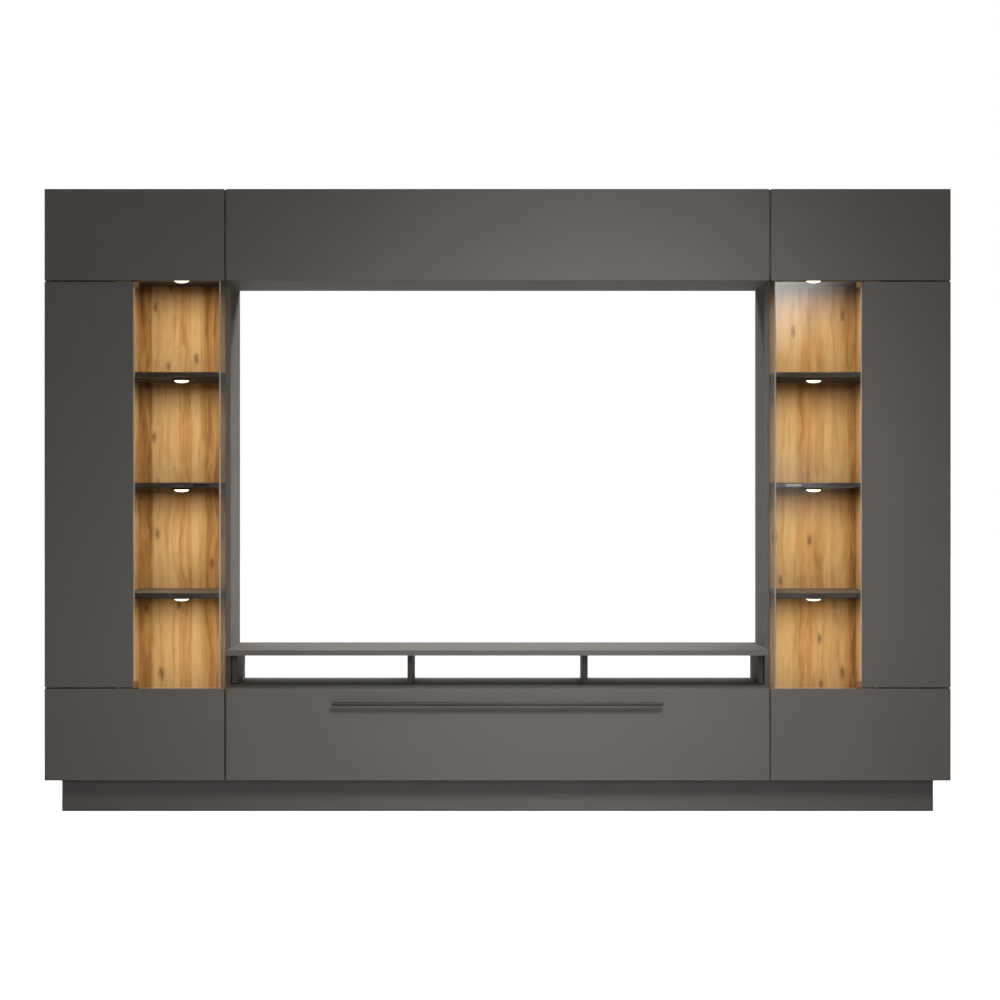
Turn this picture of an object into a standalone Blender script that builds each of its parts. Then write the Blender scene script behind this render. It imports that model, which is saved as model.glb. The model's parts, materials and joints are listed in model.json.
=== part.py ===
"""An entertainment wall unit, modelled as the boards and fittings that it is assembled from.

Two towers stand on one plinth, each with a lit glass niche, a tall store and two small
cupboards. An overhead cupboard and a base cupboard join them, with a bridge shelf on the base.
Metres, +Z up. The fronts face -Y, the left tower is at -X, and the origin is on the floor
under the middle of the unit.
"""

import math

import bmesh
import bpy
from mathutils import Matrix, Vector

# Overall sizes
overall_width = 3.100
overall_height = 2.136
cabinet_depth = 0.420
tower_width = 0.618

# Boards and panes
board = 0.018
front_board = 0.018
back_board = 0.008
pane = 0.005

# Clearances between pieces
seat = 0.0003
running_clearance = 0.0001
cut_overrun = 0.001
joint_root = 0.001

# Edge rounding
front_edge_radius = 0.0010
board_edge_radius = 0.0006
pane_edge_radius = 0.0004

# Gaps between the fronts
row_reveal = 0.004
unit_reveal = 0.007
door_reveal = 0.0025

# Plinth
plinth_height = 0.112
plinth_inset = 0.050

# Fronts
lower_front_height = 0.3145
upper_front_height = 0.313
tall_door_width = 0.302
glass_door_overlap = 0.019
pane_setback = 0.002

# Towers
niche_floor_drop = 0.054
niche_ceiling_rise = 0.018
top_bay_height = 0.330
shelf_count = 3
shelf_setback = 0.006
store_shelf_setback = 0.028
partition_reveal = 0.041
back_inset = 0.004
corner_glass_depth = 0.150
corner_glass_overlap = 0.020

# Overhead cupboard, base cupboard and bridge
overhead_bottom_rise = 0.004
base_top_rise = 0.002
bridge_height = 0.1095
bridge_end_inset = 0.0005
bridge_setback = 0.001
bridge_leg_setback = 0.170
bay_count = 3

# Bar handle
handle_length = 1.130
handle_bar_height = 0.012
handle_bar_depth = 0.009
handle_projection = 0.027
handle_drop = 0.0495
handle_post_radius = 0.004
handle_post_inset = 0.045
handle_post_count = 4

# Spot lights
spot_offset = 0.168
spot_depth = 0.130
spot_housing_radius = 0.034
spot_housing_height = 0.006
spot_rim_chamfer = 0.0012
spot_lens_radius = 0.025
spot_lens_height = 0.008
spot_rings = 4

# Cup hinges
cup_radius = 0.0175
cup_depth = 0.0115
cup_wall = 0.0012
cup_edge_distance = 0.022
cup_flange_radius = 0.0205
cup_flange = 0.0010
hinge_plate_height = 0.040
hinge_plate_length = 0.050
hinge_plate_setback = 0.030
hinge_plate_thickness = 0.006
hinge_arm_height = 0.016
hinge_arm_length = 0.062
hinge_arm_thickness = 0.008
hinge_arm_tip_gap = 0.0005
small_door_hinge_shares = (0.25, 0.75)
flap_hinge_inset = 0.120
flap_middle_hinge_share = 0.60

# Push latches of the glass doors
plunger_radius = 0.0030
plunger_length_inside = 0.026
plunger_travel = 0.004

# Glass door fittings
pivot_block_width = 0.018
pivot_block_height = 0.020
pivot_block_depth = 0.009
pivot_inset = 0.0095
pivot_pin_radius = 0.0015
pivot_pin_length = 0.009
pivot_bracket_width = 0.012
pivot_tongue = 0.0018
pivot_leg_setback = 0.004
catch_plate_width = 0.0555
catch_plate_height = 0.010
catch_plate_thickness = 0.0015
catch_plate_inset = 0.035

# Facets
cup_sides = 20
spot_sides = 24
small_sides = 12

# Depths, measured back from the plane of the fronts
front_clearance = cup_flange + seat
carcass_front = front_board + front_clearance
tower_back_face = cabinet_depth - back_inset - back_board
niche_back_face = tower_back_face - seat - back_board
niche_depth_end = niche_back_face - seat
shelf_depth_end = tower_back_face - seat

# Places along Y
front_y = (handle_projection - cabinet_depth) / 2

# Places along X on the right, mirrored for the left
half_width = overall_width / 2
tower_inner = half_width - tower_width
outer_face = half_width - board
inner_face = tower_inner + board
centre_end = tower_inner - seat
tower_front_start = tower_inner + unit_reveal / 2
centre_front_end = tower_inner - unit_reveal / 2
tall_door_start = half_width - tall_door_width
glass_door_end = tall_door_start - door_reveal
glass_door_start = tower_inner + glass_door_overlap
partition_start = tall_door_start + partition_reveal
partition_end = partition_start + board

# Heights
lower_front_top = plinth_height + lower_front_height
upper_front_bottom = overall_height - upper_front_height
tall_front_bottom = lower_front_top + row_reveal
tall_front_top = upper_front_bottom - row_reveal
carcass_bottom = plinth_height + seat
floor_top = carcass_bottom + board
ceiling_bottom = overall_height - board
niche_floor = lower_front_top - niche_floor_drop
niche_ceiling = upper_front_bottom + niche_ceiling_rise
overhead_floor = upper_front_bottom + overhead_bottom_rise
base_top = lower_front_top + base_top_rise
bridge_bottom = base_top + bridge_height
shelf_pitch = (niche_ceiling - top_bay_height - niche_floor) / shelf_count
shelf_tops = [niche_floor + shelf_pitch * step for step in range(1, shelf_count + 1)]
catch_shelf = shelf_count // 2
catch_height = shelf_tops[catch_shelf] - board / 2

SIDES = {"left": -1, "right": 1}


def material(name, colour, roughness, metallic=0.0, alpha=1.0):
    """A Principled material; the colour is linear red, green and blue."""
    made = bpy.data.materials.new(name)
    made.use_nodes = True
    shader = made.node_tree.nodes["Principled BSDF"]
    shader.inputs["Base Color"].default_value = (*colour, 1.0)
    shader.inputs["Roughness"].default_value = roughness
    shader.inputs["Metallic"].default_value = metallic
    shader.inputs["Alpha"].default_value = alpha
    made.diffuse_color = (*colour, alpha)
    return made


def decor(name):
    """Matt anthracite laminate on a chipboard core."""
    return material(name, (0.105, 0.096, 0.091), 0.55)


def wood(name):
    """Warm oak laminate."""
    return material(name, (0.50, 0.30, 0.14), 0.50)


def glass(name):
    """Clear float glass."""
    return material(name, (0.80, 0.82, 0.80), 0.05, alpha=0.25)


def steel(name):
    """Nickel-plated steel."""
    return material(name, (0.55, 0.55, 0.54), 0.35, metallic=1.0)


def dark_metal(name):
    """Black lacquered aluminium."""
    return material(name, (0.035, 0.034, 0.034), 0.40, metallic=0.6)


def plastic(name):
    """Dark grey moulded plastic."""
    return material(name, (0.06, 0.06, 0.06), 0.50)


def depth(distance):
    """The Y of a distance behind the plane of the fronts."""
    return front_y + distance


class Shape:
    """Closed solids gathered in one mesh, in world metres."""

    def __init__(self):
        self.mesh = bmesh.new()

    def box(self, across, deep, high, radius=0.0, segments=1):
        """A box between pairs of X, of depth behind the fronts, and of Z; radius rounds its edges."""
        spans = [sorted(across), sorted(depth(value) for value in deep), sorted(high)]
        centre = Vector([(low + top) / 2 for low, top in spans])
        sizes = [top - low for low, top in spans]
        place = Matrix.Translation(centre) @ Matrix.Diagonal((*sizes, 1))
        made = bmesh.ops.create_cube(self.mesh, size=1, matrix=place)
        self.round_edges(made["verts"], radius, segments)

    def round_edges(self, points, radius, segments):
        """Rounds every edge among these points."""
        if radius > 0:
            edges = list({edge for point in points for edge in point.link_edges})
            bmesh.ops.bevel(
                self.mesh, geom=edges, offset=radius, segments=segments, profile=0.5, affect="EDGES"
            )

    def prism(self, outline, push, radius=0.0):
        """The solid that an outline of world points sweeps along the push vector."""
        points = [self.mesh.verts.new(point) for point in outline]
        face = self.mesh.faces.new(points)
        swept = bmesh.ops.extrude_face_region(self.mesh, geom=[face])
        moved = [item for item in swept["geom"] if isinstance(item, bmesh.types.BMVert)]
        bmesh.ops.translate(self.mesh, verts=moved, vec=push)
        self.round_edges(points + moved, radius, 1)

    def turned(self, centre, axis, profile, sides):
        """A solid of revolution: profile is (radius, height along the axis), from pole to pole."""
        turn = Vector(axis).to_track_quat("Z", "Y").to_matrix()
        rings = []
        for radius, height in profile:
            count = sides if radius > 0 else 1
            angles = [2 * math.pi * (step + 0.5) / count for step in range(count)]
            ring = [Vector((radius * math.cos(angle), radius * math.sin(angle), height)) for angle in angles]
            rings.append([self.mesh.verts.new(Vector(centre) + turn @ point) for point in ring])
        for near, far in zip(rings, rings[1:]):
            self.join_rings(near, far)

    def join_rings(self, near, far):
        """Faces between two rings, of which one can be a single pole point."""
        for step in range(max(len(near), len(far))):
            corners = [near[step % len(near)], near[(step + 1) % len(near)]]
            corners += [far[(step + 1) % len(far)], far[step % len(far)]]
            self.mesh.faces.new(list(dict.fromkeys(corners)))

    def build(self, name, finish, origin=(0, 0, 0), parent=None, smooth=False):
        """Makes the object, with its origin at the given world point, under its parent."""
        bmesh.ops.recalc_face_normals(self.mesh, faces=self.mesh.faces)
        bmesh.ops.translate(self.mesh, verts=self.mesh.verts, vec=-Vector(origin))
        data = bpy.data.meshes.new(name)
        self.mesh.to_mesh(data)
        self.mesh.free()
        if smooth:
            data.shade_smooth()
            data.set_sharp_from_angle(angle=math.radians(40))
        made = bpy.data.objects.new(name, data)
        data.materials.append(finish)
        bpy.context.scene.collection.objects.link(made)
        made.location = origin
        if parent:
            made.parent = parent
            made.location = Vector(origin) - parent.location
        return made


def combine(target, shape, operation):
    """Cuts the shape from the target, or joins it on, with an exact Boolean."""
    count = len(target.modifiers) + 1
    helper = shape.build(f"{target.name}_helper_{count}", target.data.materials[0])
    helper.hide_render = True
    helper.display_type = "WIRE"
    step = target.modifiers.new(operation.lower(), "BOOLEAN")
    step.operation = operation
    step.solver = "EXACT"
    step.object = helper


def cut(target, shape):
    """Subtracts the shape from the target."""
    combine(target, shape, "DIFFERENCE")


def join(target, shape):
    """Makes the shape one piece with the target."""
    combine(target, shape, "UNION")


def add_board(name, across, deep, high, finish=decor):
    """A carcass board with softly broken edges."""
    shape = Shape()
    shape.box(across, deep, high, board_edge_radius)
    return shape.build(name, finish(name))


def even_places(first, last, count):
    """Count places spaced evenly from first to last, both included."""
    return [first + (last - first) * step / (count - 1) for step in range(count)]


def bays(half):
    """The clear X spans between the uprights of a centre unit that reaches to +-half."""
    inner = half - board
    clear = (2 * inner - (bay_count - 1) * board) / bay_count
    starts = [-inner + (clear + board) * step for step in range(bay_count)]
    return [(start, start + clear) for start in starts]


def hollow_box(name, half, deep, high, hollow_high, finish=decor):
    """A glued box of boards whose bays run through from front to back."""
    shape = Shape()
    shape.box((-half, half), deep, high)
    made = shape.build(name, finish(name))
    hollows = Shape()
    for bay in bays(half):
        hollows.box(bay, (deep[0] - cut_overrun, deep[1] + cut_overrun), hollow_high)
    cut(made, hollows)
    return made


class Hinge:
    """One cup hinge: where it is on its front's hinged edge, and which way it faces.

    edge is the world point on the front's outer corner line, inward points from that line
    into the front, and along is the direction of the line.
    """

    def __init__(self, edge, inward, along):
        self.edge = Vector(edge)
        self.inward = Vector(inward)
        self.along = Vector(along)

    def at(self, inward, back, along=0.0):
        """The world point at distances from the edge point."""
        return self.edge + self.inward * inward + Vector((0, back, 0)) + self.along * along

    def add_box(self, shape, inward, back, width):
        """A box centred on the hinge, width wide along its line."""
        low = self.at(inward[0], back[0], -width / 2)
        high = self.at(inward[1], back[1], width / 2)
        deep = (low.y - front_y, high.y - front_y)
        shape.box((low.x, high.x), deep, (low.z, high.z))

    def add_plate(self, shape):
        """The mounting plate, rooted in the carcass board."""
        start = board - joint_root
        end = board + hinge_plate_thickness
        front = carcass_front + hinge_plate_setback
        self.add_box(shape, (start, end), (front, front + hinge_plate_length), hinge_plate_height)

    def add_arm(self, shape):
        """The arm, rooted in the plate, that reaches forward to the cup."""
        start = board + hinge_plate_thickness - joint_root
        end = board + hinge_plate_thickness + hinge_arm_thickness
        front = front_board + cup_flange + hinge_arm_tip_gap
        self.add_box(shape, (start, end), (front, front + hinge_arm_length), hinge_arm_height)

    def add_flange(self, shape):
        """The cup's round flange on the front's back face."""
        profile = [(0, -joint_root), (cup_flange_radius, -joint_root)]
        profile += [(cup_flange_radius, cup_flange), (0, cup_flange)]
        shape.turned(self.at(cup_edge_distance, front_board), (0, 1, 0), profile, cup_sides)

    def add_hollow(self, shape):
        """The hollow of the cup."""
        radius = cup_radius - cup_wall
        floor = cup_wall - cup_depth
        rim = cup_flange + cut_overrun
        profile = [(0, floor), (radius, floor), (radius, rim), (0, rim)]
        shape.turned(self.at(cup_edge_distance, front_board), (0, 1, 0), profile, cup_sides)


def add_arms(target, hinges):
    """Joins the plates and arms of these hinges to the board that carries them."""
    plates = Shape()
    arms = Shape()
    for hinge in hinges:
        hinge.add_plate(plates)
        hinge.add_arm(arms)
    join(target, plates)
    join(target, arms)


def door_hinges(side, heights):
    """Hinges on a tower door's outer edge."""
    return [Hinge((side * half_width, front_y, z), (-side, 0, 0), (0, 0, 1)) for z in heights]


def room_places(room):
    """Hinge heights within a small cupboard's clear height."""
    return [room[0] + (room[1] - room[0]) * share for share in small_door_hinge_shares]


def tower_hinges(side):
    """The hinges of a tower's tall, upper and lower doors."""
    tops = [niche_floor] + shelf_tops
    undersides = [top - board for top in shelf_tops] + [niche_ceiling]
    return {
        "tall_door": door_hinges(side, [(low + high) / 2 for low, high in zip(tops, undersides)]),
        "upper_door": door_hinges(side, room_places((niche_ceiling + board, ceiling_bottom))),
        "lower_door": door_hinges(side, room_places((floor_top, niche_floor - board))),
    }


def flap_hinges(edge_z, inward):
    """Hinges along a flap's top or bottom edge."""
    outer_place = centre_end - board - flap_hinge_inset
    inner_place = bays(centre_end)[bay_count // 2][1] * flap_middle_hinge_share
    places = [-outer_place, -inner_place, inner_place, outer_place]
    return [Hinge((x, front_y, edge_z), (0, 0, inward), (1, 0, 0)) for x in places]


def build_plinth():
    """The recessed plinth: an open frame of rails, with cross rails under the uprights."""
    end = half_width - plinth_inset
    shape = Shape()
    shape.box((-end, end), (plinth_inset, cabinet_depth), (0, plinth_height), board_edge_radius)
    plinth = shape.build("plinth", decor("plinth"))
    inner_rail = bays(centre_end)[-1][0] - board
    starts = [end - board, tower_inner, inner_rail, -inner_rail - board, -tower_inner - board]
    ends = [tower_inner + board, inner_rail + board, -inner_rail, -tower_inner, board - end]
    hollows = Shape()
    rails = (plinth_inset + board, cabinet_depth - board)
    for far, near in zip(starts, ends):
        hollows.box((near, far), rails, (-cut_overrun, plinth_height + cut_overrun))
    cut(plinth, hollows)


def build_tower_sides(name, side, hinges):
    """The outer side with its hinge arms, and the inner side, cut back beside the niche."""
    deep = (carcass_front, cabinet_depth)
    full = (carcass_bottom, overall_height)
    outer = add_board(name + "_outer_side", (side * outer_face, side * half_width), deep, full)
    add_arms(outer, [hinge for row in hinges.values() for hinge in row])
    outline = [
        (carcass_front, carcass_bottom),
        (cabinet_depth, carcass_bottom),
        (cabinet_depth, overall_height),
        (carcass_front, overall_height),
        (carcass_front, niche_ceiling),
        (corner_glass_depth, niche_ceiling),
        (corner_glass_depth, niche_floor),
        (carcass_front, niche_floor),
    ]
    shape = Shape()
    points = [(side * tower_inner, depth(back), high) for back, high in outline]
    shape.prism(points, (side * board, 0, 0), board_edge_radius)
    shape.build(name + "_inner_side", decor(name + "_inner_side"))


def build_partition(name, side):
    """The partition beside the niche, with the tall store's shelves fixed to it."""
    deep = (carcass_front, shelf_depth_end)
    high = (niche_floor + seat, niche_ceiling - seat)
    across = (side * partition_start, side * partition_end)
    partition = add_board(name + "_partition", across, deep, high, wood)
    shelves = Shape()
    shelf_across = (side * (partition_end - joint_root), side * (outer_face - seat))
    shelf_deep = (carcass_front + store_shelf_setback, shelf_depth_end - seat)
    for top in shelf_tops:
        shelves.box(shelf_across, shelf_deep, (top - board, top), board_edge_radius)
    join(partition, shelves)


def build_niche(name, side):
    """The wood back of the niche, its corner pane and its shelves, notched round the pane."""
    start = inner_face + seat
    end = partition_start - seat
    high = (niche_floor + seat, niche_ceiling - seat)
    back_deep = (niche_back_face, niche_back_face + back_board)
    add_board(name + "_niche_back", (side * start, side * end), back_deep, high, wood)
    pane_end = corner_glass_depth + corner_glass_overlap
    corner = Shape()
    corner.box((side * start, side * (start + pane)), (carcass_front, pane_end), high, pane_edge_radius)
    corner.build(name + "_corner_glass", glass(name + "_corner_glass"))
    pane_side = start + pane + seat
    front = carcass_front + shelf_setback
    outline = [
        (pane_side, front),
        (end, front),
        (end, niche_depth_end),
        (start, niche_depth_end),
        (start, pane_end + seat),
        (pane_side, pane_end + seat),
    ]
    for number, top in enumerate(shelf_tops, start=1):
        shape = Shape()
        points = [(side * x, depth(back), top) for x, back in outline]
        shape.prism(points, (0, 0, -board), board_edge_radius)
        node = f"{name}_niche_shelf_{number}"
        shelf = shape.build(node, decor(node))
        if number == catch_shelf + 1:
            cut(shelf, glass_latch_shape(side, front - cut_overrun, running_clearance))


def build_tower_boards(name, side):
    """The floor, the decks of the small cupboards, the top and the full-height back."""
    across = (side * (inner_face + seat), side * (outer_face - seat))
    deep = (carcass_front, shelf_depth_end)
    add_board(name + "_floor", across, deep, (carcass_bottom, floor_top))
    lower = add_board(name + "_lower_deck", across, deep, (niche_floor - board, niche_floor))
    upper = add_board(name + "_upper_deck", across, deep, (niche_ceiling, niche_ceiling + board))
    add_board(name + "_top", across, deep, (ceiling_bottom, overall_height))
    add_pivot_bracket(lower, side, tall_front_bottom, -1, niche_floor)
    add_pivot_bracket(upper, side, tall_front_top, 1, niche_ceiling)
    back_deep = (tower_back_face, tower_back_face + back_board)
    add_board(name + "_back", across, back_deep, (carcass_bottom, overall_height))


def pivot_place(side):
    """The X and Y of a glass door's pivot line, in the middle of its blocks."""
    return side * (glass_door_end - pivot_inset), depth(pivot_block_depth / 2)


def add_pivot_bracket(deck, side, end, outward, support):
    """Joins the bracket and pin of a glass door's pivot to a deck, in the gap past the pane's end."""
    pivot_x, pivot_y = pivot_place(side)
    leg_front = carcass_front + pivot_leg_setback
    near = end + outward * (row_reveal - pivot_tongue) / 2
    far = near + outward * pivot_tongue
    foot = support + outward * joint_root
    outline = [
        (0, near),
        (leg_front + pivot_tongue, near),
        (leg_front + pivot_tongue, foot),
        (leg_front, foot),
        (leg_front, far),
        (0, far),
    ]
    shape = Shape()
    points = [(pivot_x - pivot_bracket_width / 2, depth(back), high) for back, high in outline]
    shape.prism(points, (pivot_bracket_width, 0, 0))
    join(deck, shape)
    middle = outward * ((near + far) / 2 - end)
    tip = -pivot_pin_length
    profile = [(0, tip), (pivot_pin_radius, tip), (pivot_pin_radius, middle), (0, middle)]
    pin = Shape()
    pin.turned((pivot_x, pivot_y, end), (0, 0, outward), profile, small_sides)
    join(deck, pin)


def build_centre():
    """The overhead cupboard, the base cupboard and the bridge shelf."""
    deep = (carcass_front, shelf_depth_end)
    back_deep = (tower_back_face, tower_back_face + back_board)
    across = (-centre_end, centre_end)
    overhead_high = (overhead_floor, overall_height)
    overhead = hollow_box(
        "overhead_box", centre_end, deep, overhead_high, (overhead_floor + board, ceiling_bottom)
    )
    add_arms(overhead, flap_hinges(overall_height, -1))
    add_board("overhead_back", across, back_deep, overhead_high)
    base_bottom = base_top - board - seat
    base = hollow_box(
        "base_box", centre_end, deep, (carcass_bottom, base_bottom), (floor_top, base_top)
    )
    add_arms(base, flap_hinges(plinth_height, 1))
    add_board("base_back", across, back_deep, (carcass_bottom, base_bottom))
    add_board("base_top", across, (carcass_front, cabinet_depth), (base_top - board, base_top))
    bridge_end = tower_inner - bridge_end_inset
    bridge_deep = (carcass_front + bridge_setback, cabinet_depth)
    bridge_high = (base_top + seat, bridge_bottom + board)
    bridge = hollow_box("bridge", bridge_end, bridge_deep, bridge_high, (base_top, bridge_bottom))
    front = Shape()
    front_span = (-bridge_end - cut_overrun, bridge_end + cut_overrun)
    front.box(front_span, (0, carcass_front + bridge_leg_setback), (base_top, bridge_bottom))
    cut(bridge, front)


def build_spots(name, side):
    """Surface spot lights under each niche shelf and the ceiling: a flat housing with a domed lens."""
    rim = spot_housing_radius - spot_rim_chamfer
    wall = spot_housing_height - spot_rim_chamfer
    profile = [(0, seat), (spot_housing_radius, seat), (spot_housing_radius, wall)]
    profile.append((rim, spot_housing_height))
    for step in range(spot_rings):
        angle = math.pi / 2 * step / spot_rings
        drop = spot_housing_height + spot_lens_height * math.sin(angle)
        profile.append((spot_lens_radius * math.cos(angle), drop))
    profile.append((0, spot_housing_height + spot_lens_height))
    ceilings = [top - board for top in shelf_tops] + [niche_ceiling]
    for number, ceiling in enumerate(ceilings, start=1):
        centre = (side * (tower_inner + spot_offset), depth(spot_depth), ceiling)
        shape = Shape()
        shape.turned(centre, (0, 0, -1), profile, spot_sides)
        node = f"{name}_spot_{number}"
        shape.build(node, plastic(node), smooth=True)


def build_front(name, across, high, origin, hinges):
    """A solid front with its hinge cups, which are one piece with it."""
    shape = Shape()
    shape.box(across, (0, front_board), high, front_edge_radius, segments=2)
    front = shape.build(name, decor(name), origin)
    flanges = Shape()
    hollows = Shape()
    for hinge in hinges:
        hinge.add_flange(flanges)
        hinge.add_hollow(hollows)
    join(front, flanges)
    cut(front, hollows)
    return front


def build_tower_fronts(name, side, hinges):
    """The tall, upper and lower doors of a tower, hinged on their outer edges."""
    doors = {
        "tall_door": (tall_door_start, tall_front_bottom, tall_front_top),
        "upper_door": (tower_front_start, upper_front_bottom, overall_height),
        "lower_door": (tower_front_start, plinth_height, lower_front_top),
    }
    for door, (start, low, high) in doors.items():
        origin = (side * half_width, front_y, low)
        across = (side * start, side * half_width)
        build_front(f"{name}_{door}", across, (low, high), origin, hinges[door])


def build_centre_fronts():
    """The overhead flap, hung at its top edge, and the base flap, hinged at its bottom edge."""
    across = (-centre_front_end, centre_front_end)
    top_high = (upper_front_bottom, overall_height)
    top_hinges = flap_hinges(overall_height, -1)
    build_front("overhead_flap", across, top_high, (0, front_y, overall_height), top_hinges)
    bottom_high = (plinth_height, lower_front_top)
    bottom_origin = (0, front_y, plinth_height)
    flap = build_front("base_flap", across, bottom_high, bottom_origin, flap_hinges(plinth_height, 1))
    build_handle(flap, bottom_origin)


def build_handle(flap, origin):
    """The bar handle: a long flat bar on round posts, made as one piece."""
    middle = lower_front_top - handle_drop
    high = (middle - handle_bar_height / 2, middle + handle_bar_height / 2)
    back = handle_bar_depth - handle_projection
    shape = Shape()
    shape.box((-handle_length / 2, handle_length / 2), (-handle_projection, back), high, front_edge_radius)
    bar = shape.build("bar_handle", dark_metal("bar_handle"), origin, flap)
    posts = Shape()
    start = back - joint_root
    profile = [(0, start), (handle_post_radius, start), (handle_post_radius, -seat), (0, -seat)]
    reach = handle_length / 2 - handle_post_inset
    for place in even_places(-reach, reach, handle_post_count):
        posts.turned((place, front_y, middle), (0, 1, 0), profile, small_sides)
    join(bar, posts)


def build_glass_door(name, side):
    """The frameless glass door, with pivot blocks let into its corners and a catch plate behind."""
    pivot_x, pivot_y = pivot_place(side)
    origin = (pivot_x, pivot_y, tall_front_bottom)
    shape = Shape()
    across = (side * glass_door_start, side * glass_door_end)
    pane_deep = (pane_setback, pane_setback + pane)
    shape.box(across, pane_deep, (tall_front_bottom, tall_front_top), pane_edge_radius)
    door = shape.build(name + "_glass_door", glass(name + "_glass_door"), origin)
    notches = Shape()
    block_start = glass_door_end - pivot_block_width
    notch_across = (side * (block_start - seat), side * (glass_door_end + cut_overrun))
    notch_deep = (-cut_overrun, pivot_block_depth + cut_overrun)
    for end_name, end, inward in (("lower", tall_front_bottom, 1), ("upper", tall_front_top, -1)):
        notch_high = (end - inward * cut_overrun, end + inward * (pivot_block_height + seat))
        notches.box(notch_across, notch_deep, notch_high)
        node = f"{name}_{end_name}_pivot_block"
        block = Shape()
        block_across = (side * block_start, side * glass_door_end)
        block_high = (end, end + inward * pivot_block_height)
        block.box(block_across, (0, pivot_block_depth), block_high, pane_edge_radius)
        made = block.build(node, steel(node), origin, door)
        radius = pivot_pin_radius + running_clearance
        reach = pivot_pin_length + seat
        profile = [(0, -cut_overrun), (radius, -cut_overrun), (radius, reach), (0, reach)]
        hole = Shape()
        hole.turned((pivot_x, pivot_y, end), (0, 0, inward), profile, small_sides)
        cut(made, hole)
    cut(door, notches)
    plate = Shape()
    plate_start = glass_door_start + catch_plate_inset
    plate_front = pane_setback + pane + seat
    plate_across = (side * plate_start, side * (plate_start + catch_plate_width))
    plate_high = (catch_height - catch_plate_height / 2, catch_height + catch_plate_height / 2)
    plate.box(plate_across, (plate_front, plate_front + catch_plate_thickness), plate_high)
    plate.build(name + "_catch_plate", steel(name + "_catch_plate"), origin, door)


def glass_latch_shape(side, start, clearance):
    """The plunger of a glass door's latch, or with a clearance its bore, from a depth into the shelf."""
    x = side * (glass_door_start + catch_plate_inset + catch_plate_width / 2)
    end = carcass_front + shelf_setback + plunger_length_inside
    if clearance:
        end += plunger_travel + seat
    radius = plunger_radius + clearance
    profile = [(0, start), (radius, start), (radius, end), (0, end)]
    shape = Shape()
    shape.turned((x, front_y, catch_height), (0, 1, 0), profile, small_sides)
    return shape


def build_plunger(name, side):
    """The push latch's plunger, with its tip against the catch plate."""
    tip = pane_setback + pane + seat + catch_plate_thickness + seat
    shape = glass_latch_shape(side, tip, 0)
    node = name + "_latch_plunger"
    shape.build(node, plastic(node), (0, depth(tip), catch_height))


def main():
    """Clears the scene and builds every sub-part."""
    for old in list(bpy.data.objects):
        bpy.data.objects.remove(old, do_unlink=True)
    build_plinth()
    for name, side in SIDES.items():
        hinges = tower_hinges(side)
        build_tower_sides(name, side, hinges)
        build_partition(name, side)
        build_niche(name, side)
        build_tower_boards(name, side)
        build_spots(name, side)
        build_tower_fronts(name, side, hinges)
        build_glass_door(name, side)
        build_plunger(name, side)
    build_centre()
    build_centre_fronts()


main()
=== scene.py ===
"""The looks of an entertainment wall unit, built around its packed boards and fittings.

Two towers with a lit glass niche each, an overhead and a base cupboard between them, and a
bridge shelf. The boards are matt anthracite laminate, the niches are lined with knotty oak
foil, the panes are clear float glass and the small fittings are nickel-plated steel.
Metres, +Z up, fronts facing -Y.
"""

from __future__ import annotations

import json
import logging
import math
from dataclasses import dataclass, field
from enum import Enum
from functools import partial
from typing import Any, Callable, Iterable, Sequence

import bmesh
import bpy
from mathutils import Matrix, Vector

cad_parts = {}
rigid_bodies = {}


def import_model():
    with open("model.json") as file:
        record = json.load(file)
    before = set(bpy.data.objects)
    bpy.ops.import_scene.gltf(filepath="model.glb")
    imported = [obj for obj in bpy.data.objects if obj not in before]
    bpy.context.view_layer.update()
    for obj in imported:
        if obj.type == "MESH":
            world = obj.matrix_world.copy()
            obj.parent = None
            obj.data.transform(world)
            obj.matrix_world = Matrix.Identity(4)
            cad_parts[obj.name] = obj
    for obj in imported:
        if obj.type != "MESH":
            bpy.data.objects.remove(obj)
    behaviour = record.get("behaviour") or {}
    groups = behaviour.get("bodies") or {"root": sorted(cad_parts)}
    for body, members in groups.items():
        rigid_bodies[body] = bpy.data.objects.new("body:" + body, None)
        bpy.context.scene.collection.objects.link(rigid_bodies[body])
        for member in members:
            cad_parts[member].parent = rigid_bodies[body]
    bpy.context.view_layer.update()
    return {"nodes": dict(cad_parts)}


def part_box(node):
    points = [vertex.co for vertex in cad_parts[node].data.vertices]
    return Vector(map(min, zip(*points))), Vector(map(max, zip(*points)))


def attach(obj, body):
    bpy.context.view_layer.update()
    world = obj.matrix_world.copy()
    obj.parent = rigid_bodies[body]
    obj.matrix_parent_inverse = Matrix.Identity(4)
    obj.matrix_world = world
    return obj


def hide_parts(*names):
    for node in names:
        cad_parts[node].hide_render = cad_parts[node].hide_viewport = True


LOG = logging.getLogger("wall_unit")
MM = 0.001
DECKS = ("floor", "lower_deck", "upper_deck", "top")
SHELVES = ("niche_shelf_1", "niche_shelf_2", "niche_shelf_3")
# A face looks along an axis when this much of its normal does.
SQUARE_ON = 0.9
# A face is proud of a plane when it stands this far from it.
SKIN = 0.2 * MM
WHITE = (1.0, 1.0, 1.0, 1.0)
# The corners of a square sheet, as shares of half its size.
CORNERS = ((-1, -1), (1, -1), (1, 1), (-1, 1))

Material, Object = bpy.types.Material, bpy.types.Object
Tree, Node, Socket = bpy.types.NodeTree, bpy.types.Node, bpy.types.NodeSocket
Point = tuple[float, float, float]
Box = tuple[Vector, Vector]
Profile = Sequence[tuple[float, float, int]]
Chooser = Callable[[Vector, Vector], int]


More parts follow.
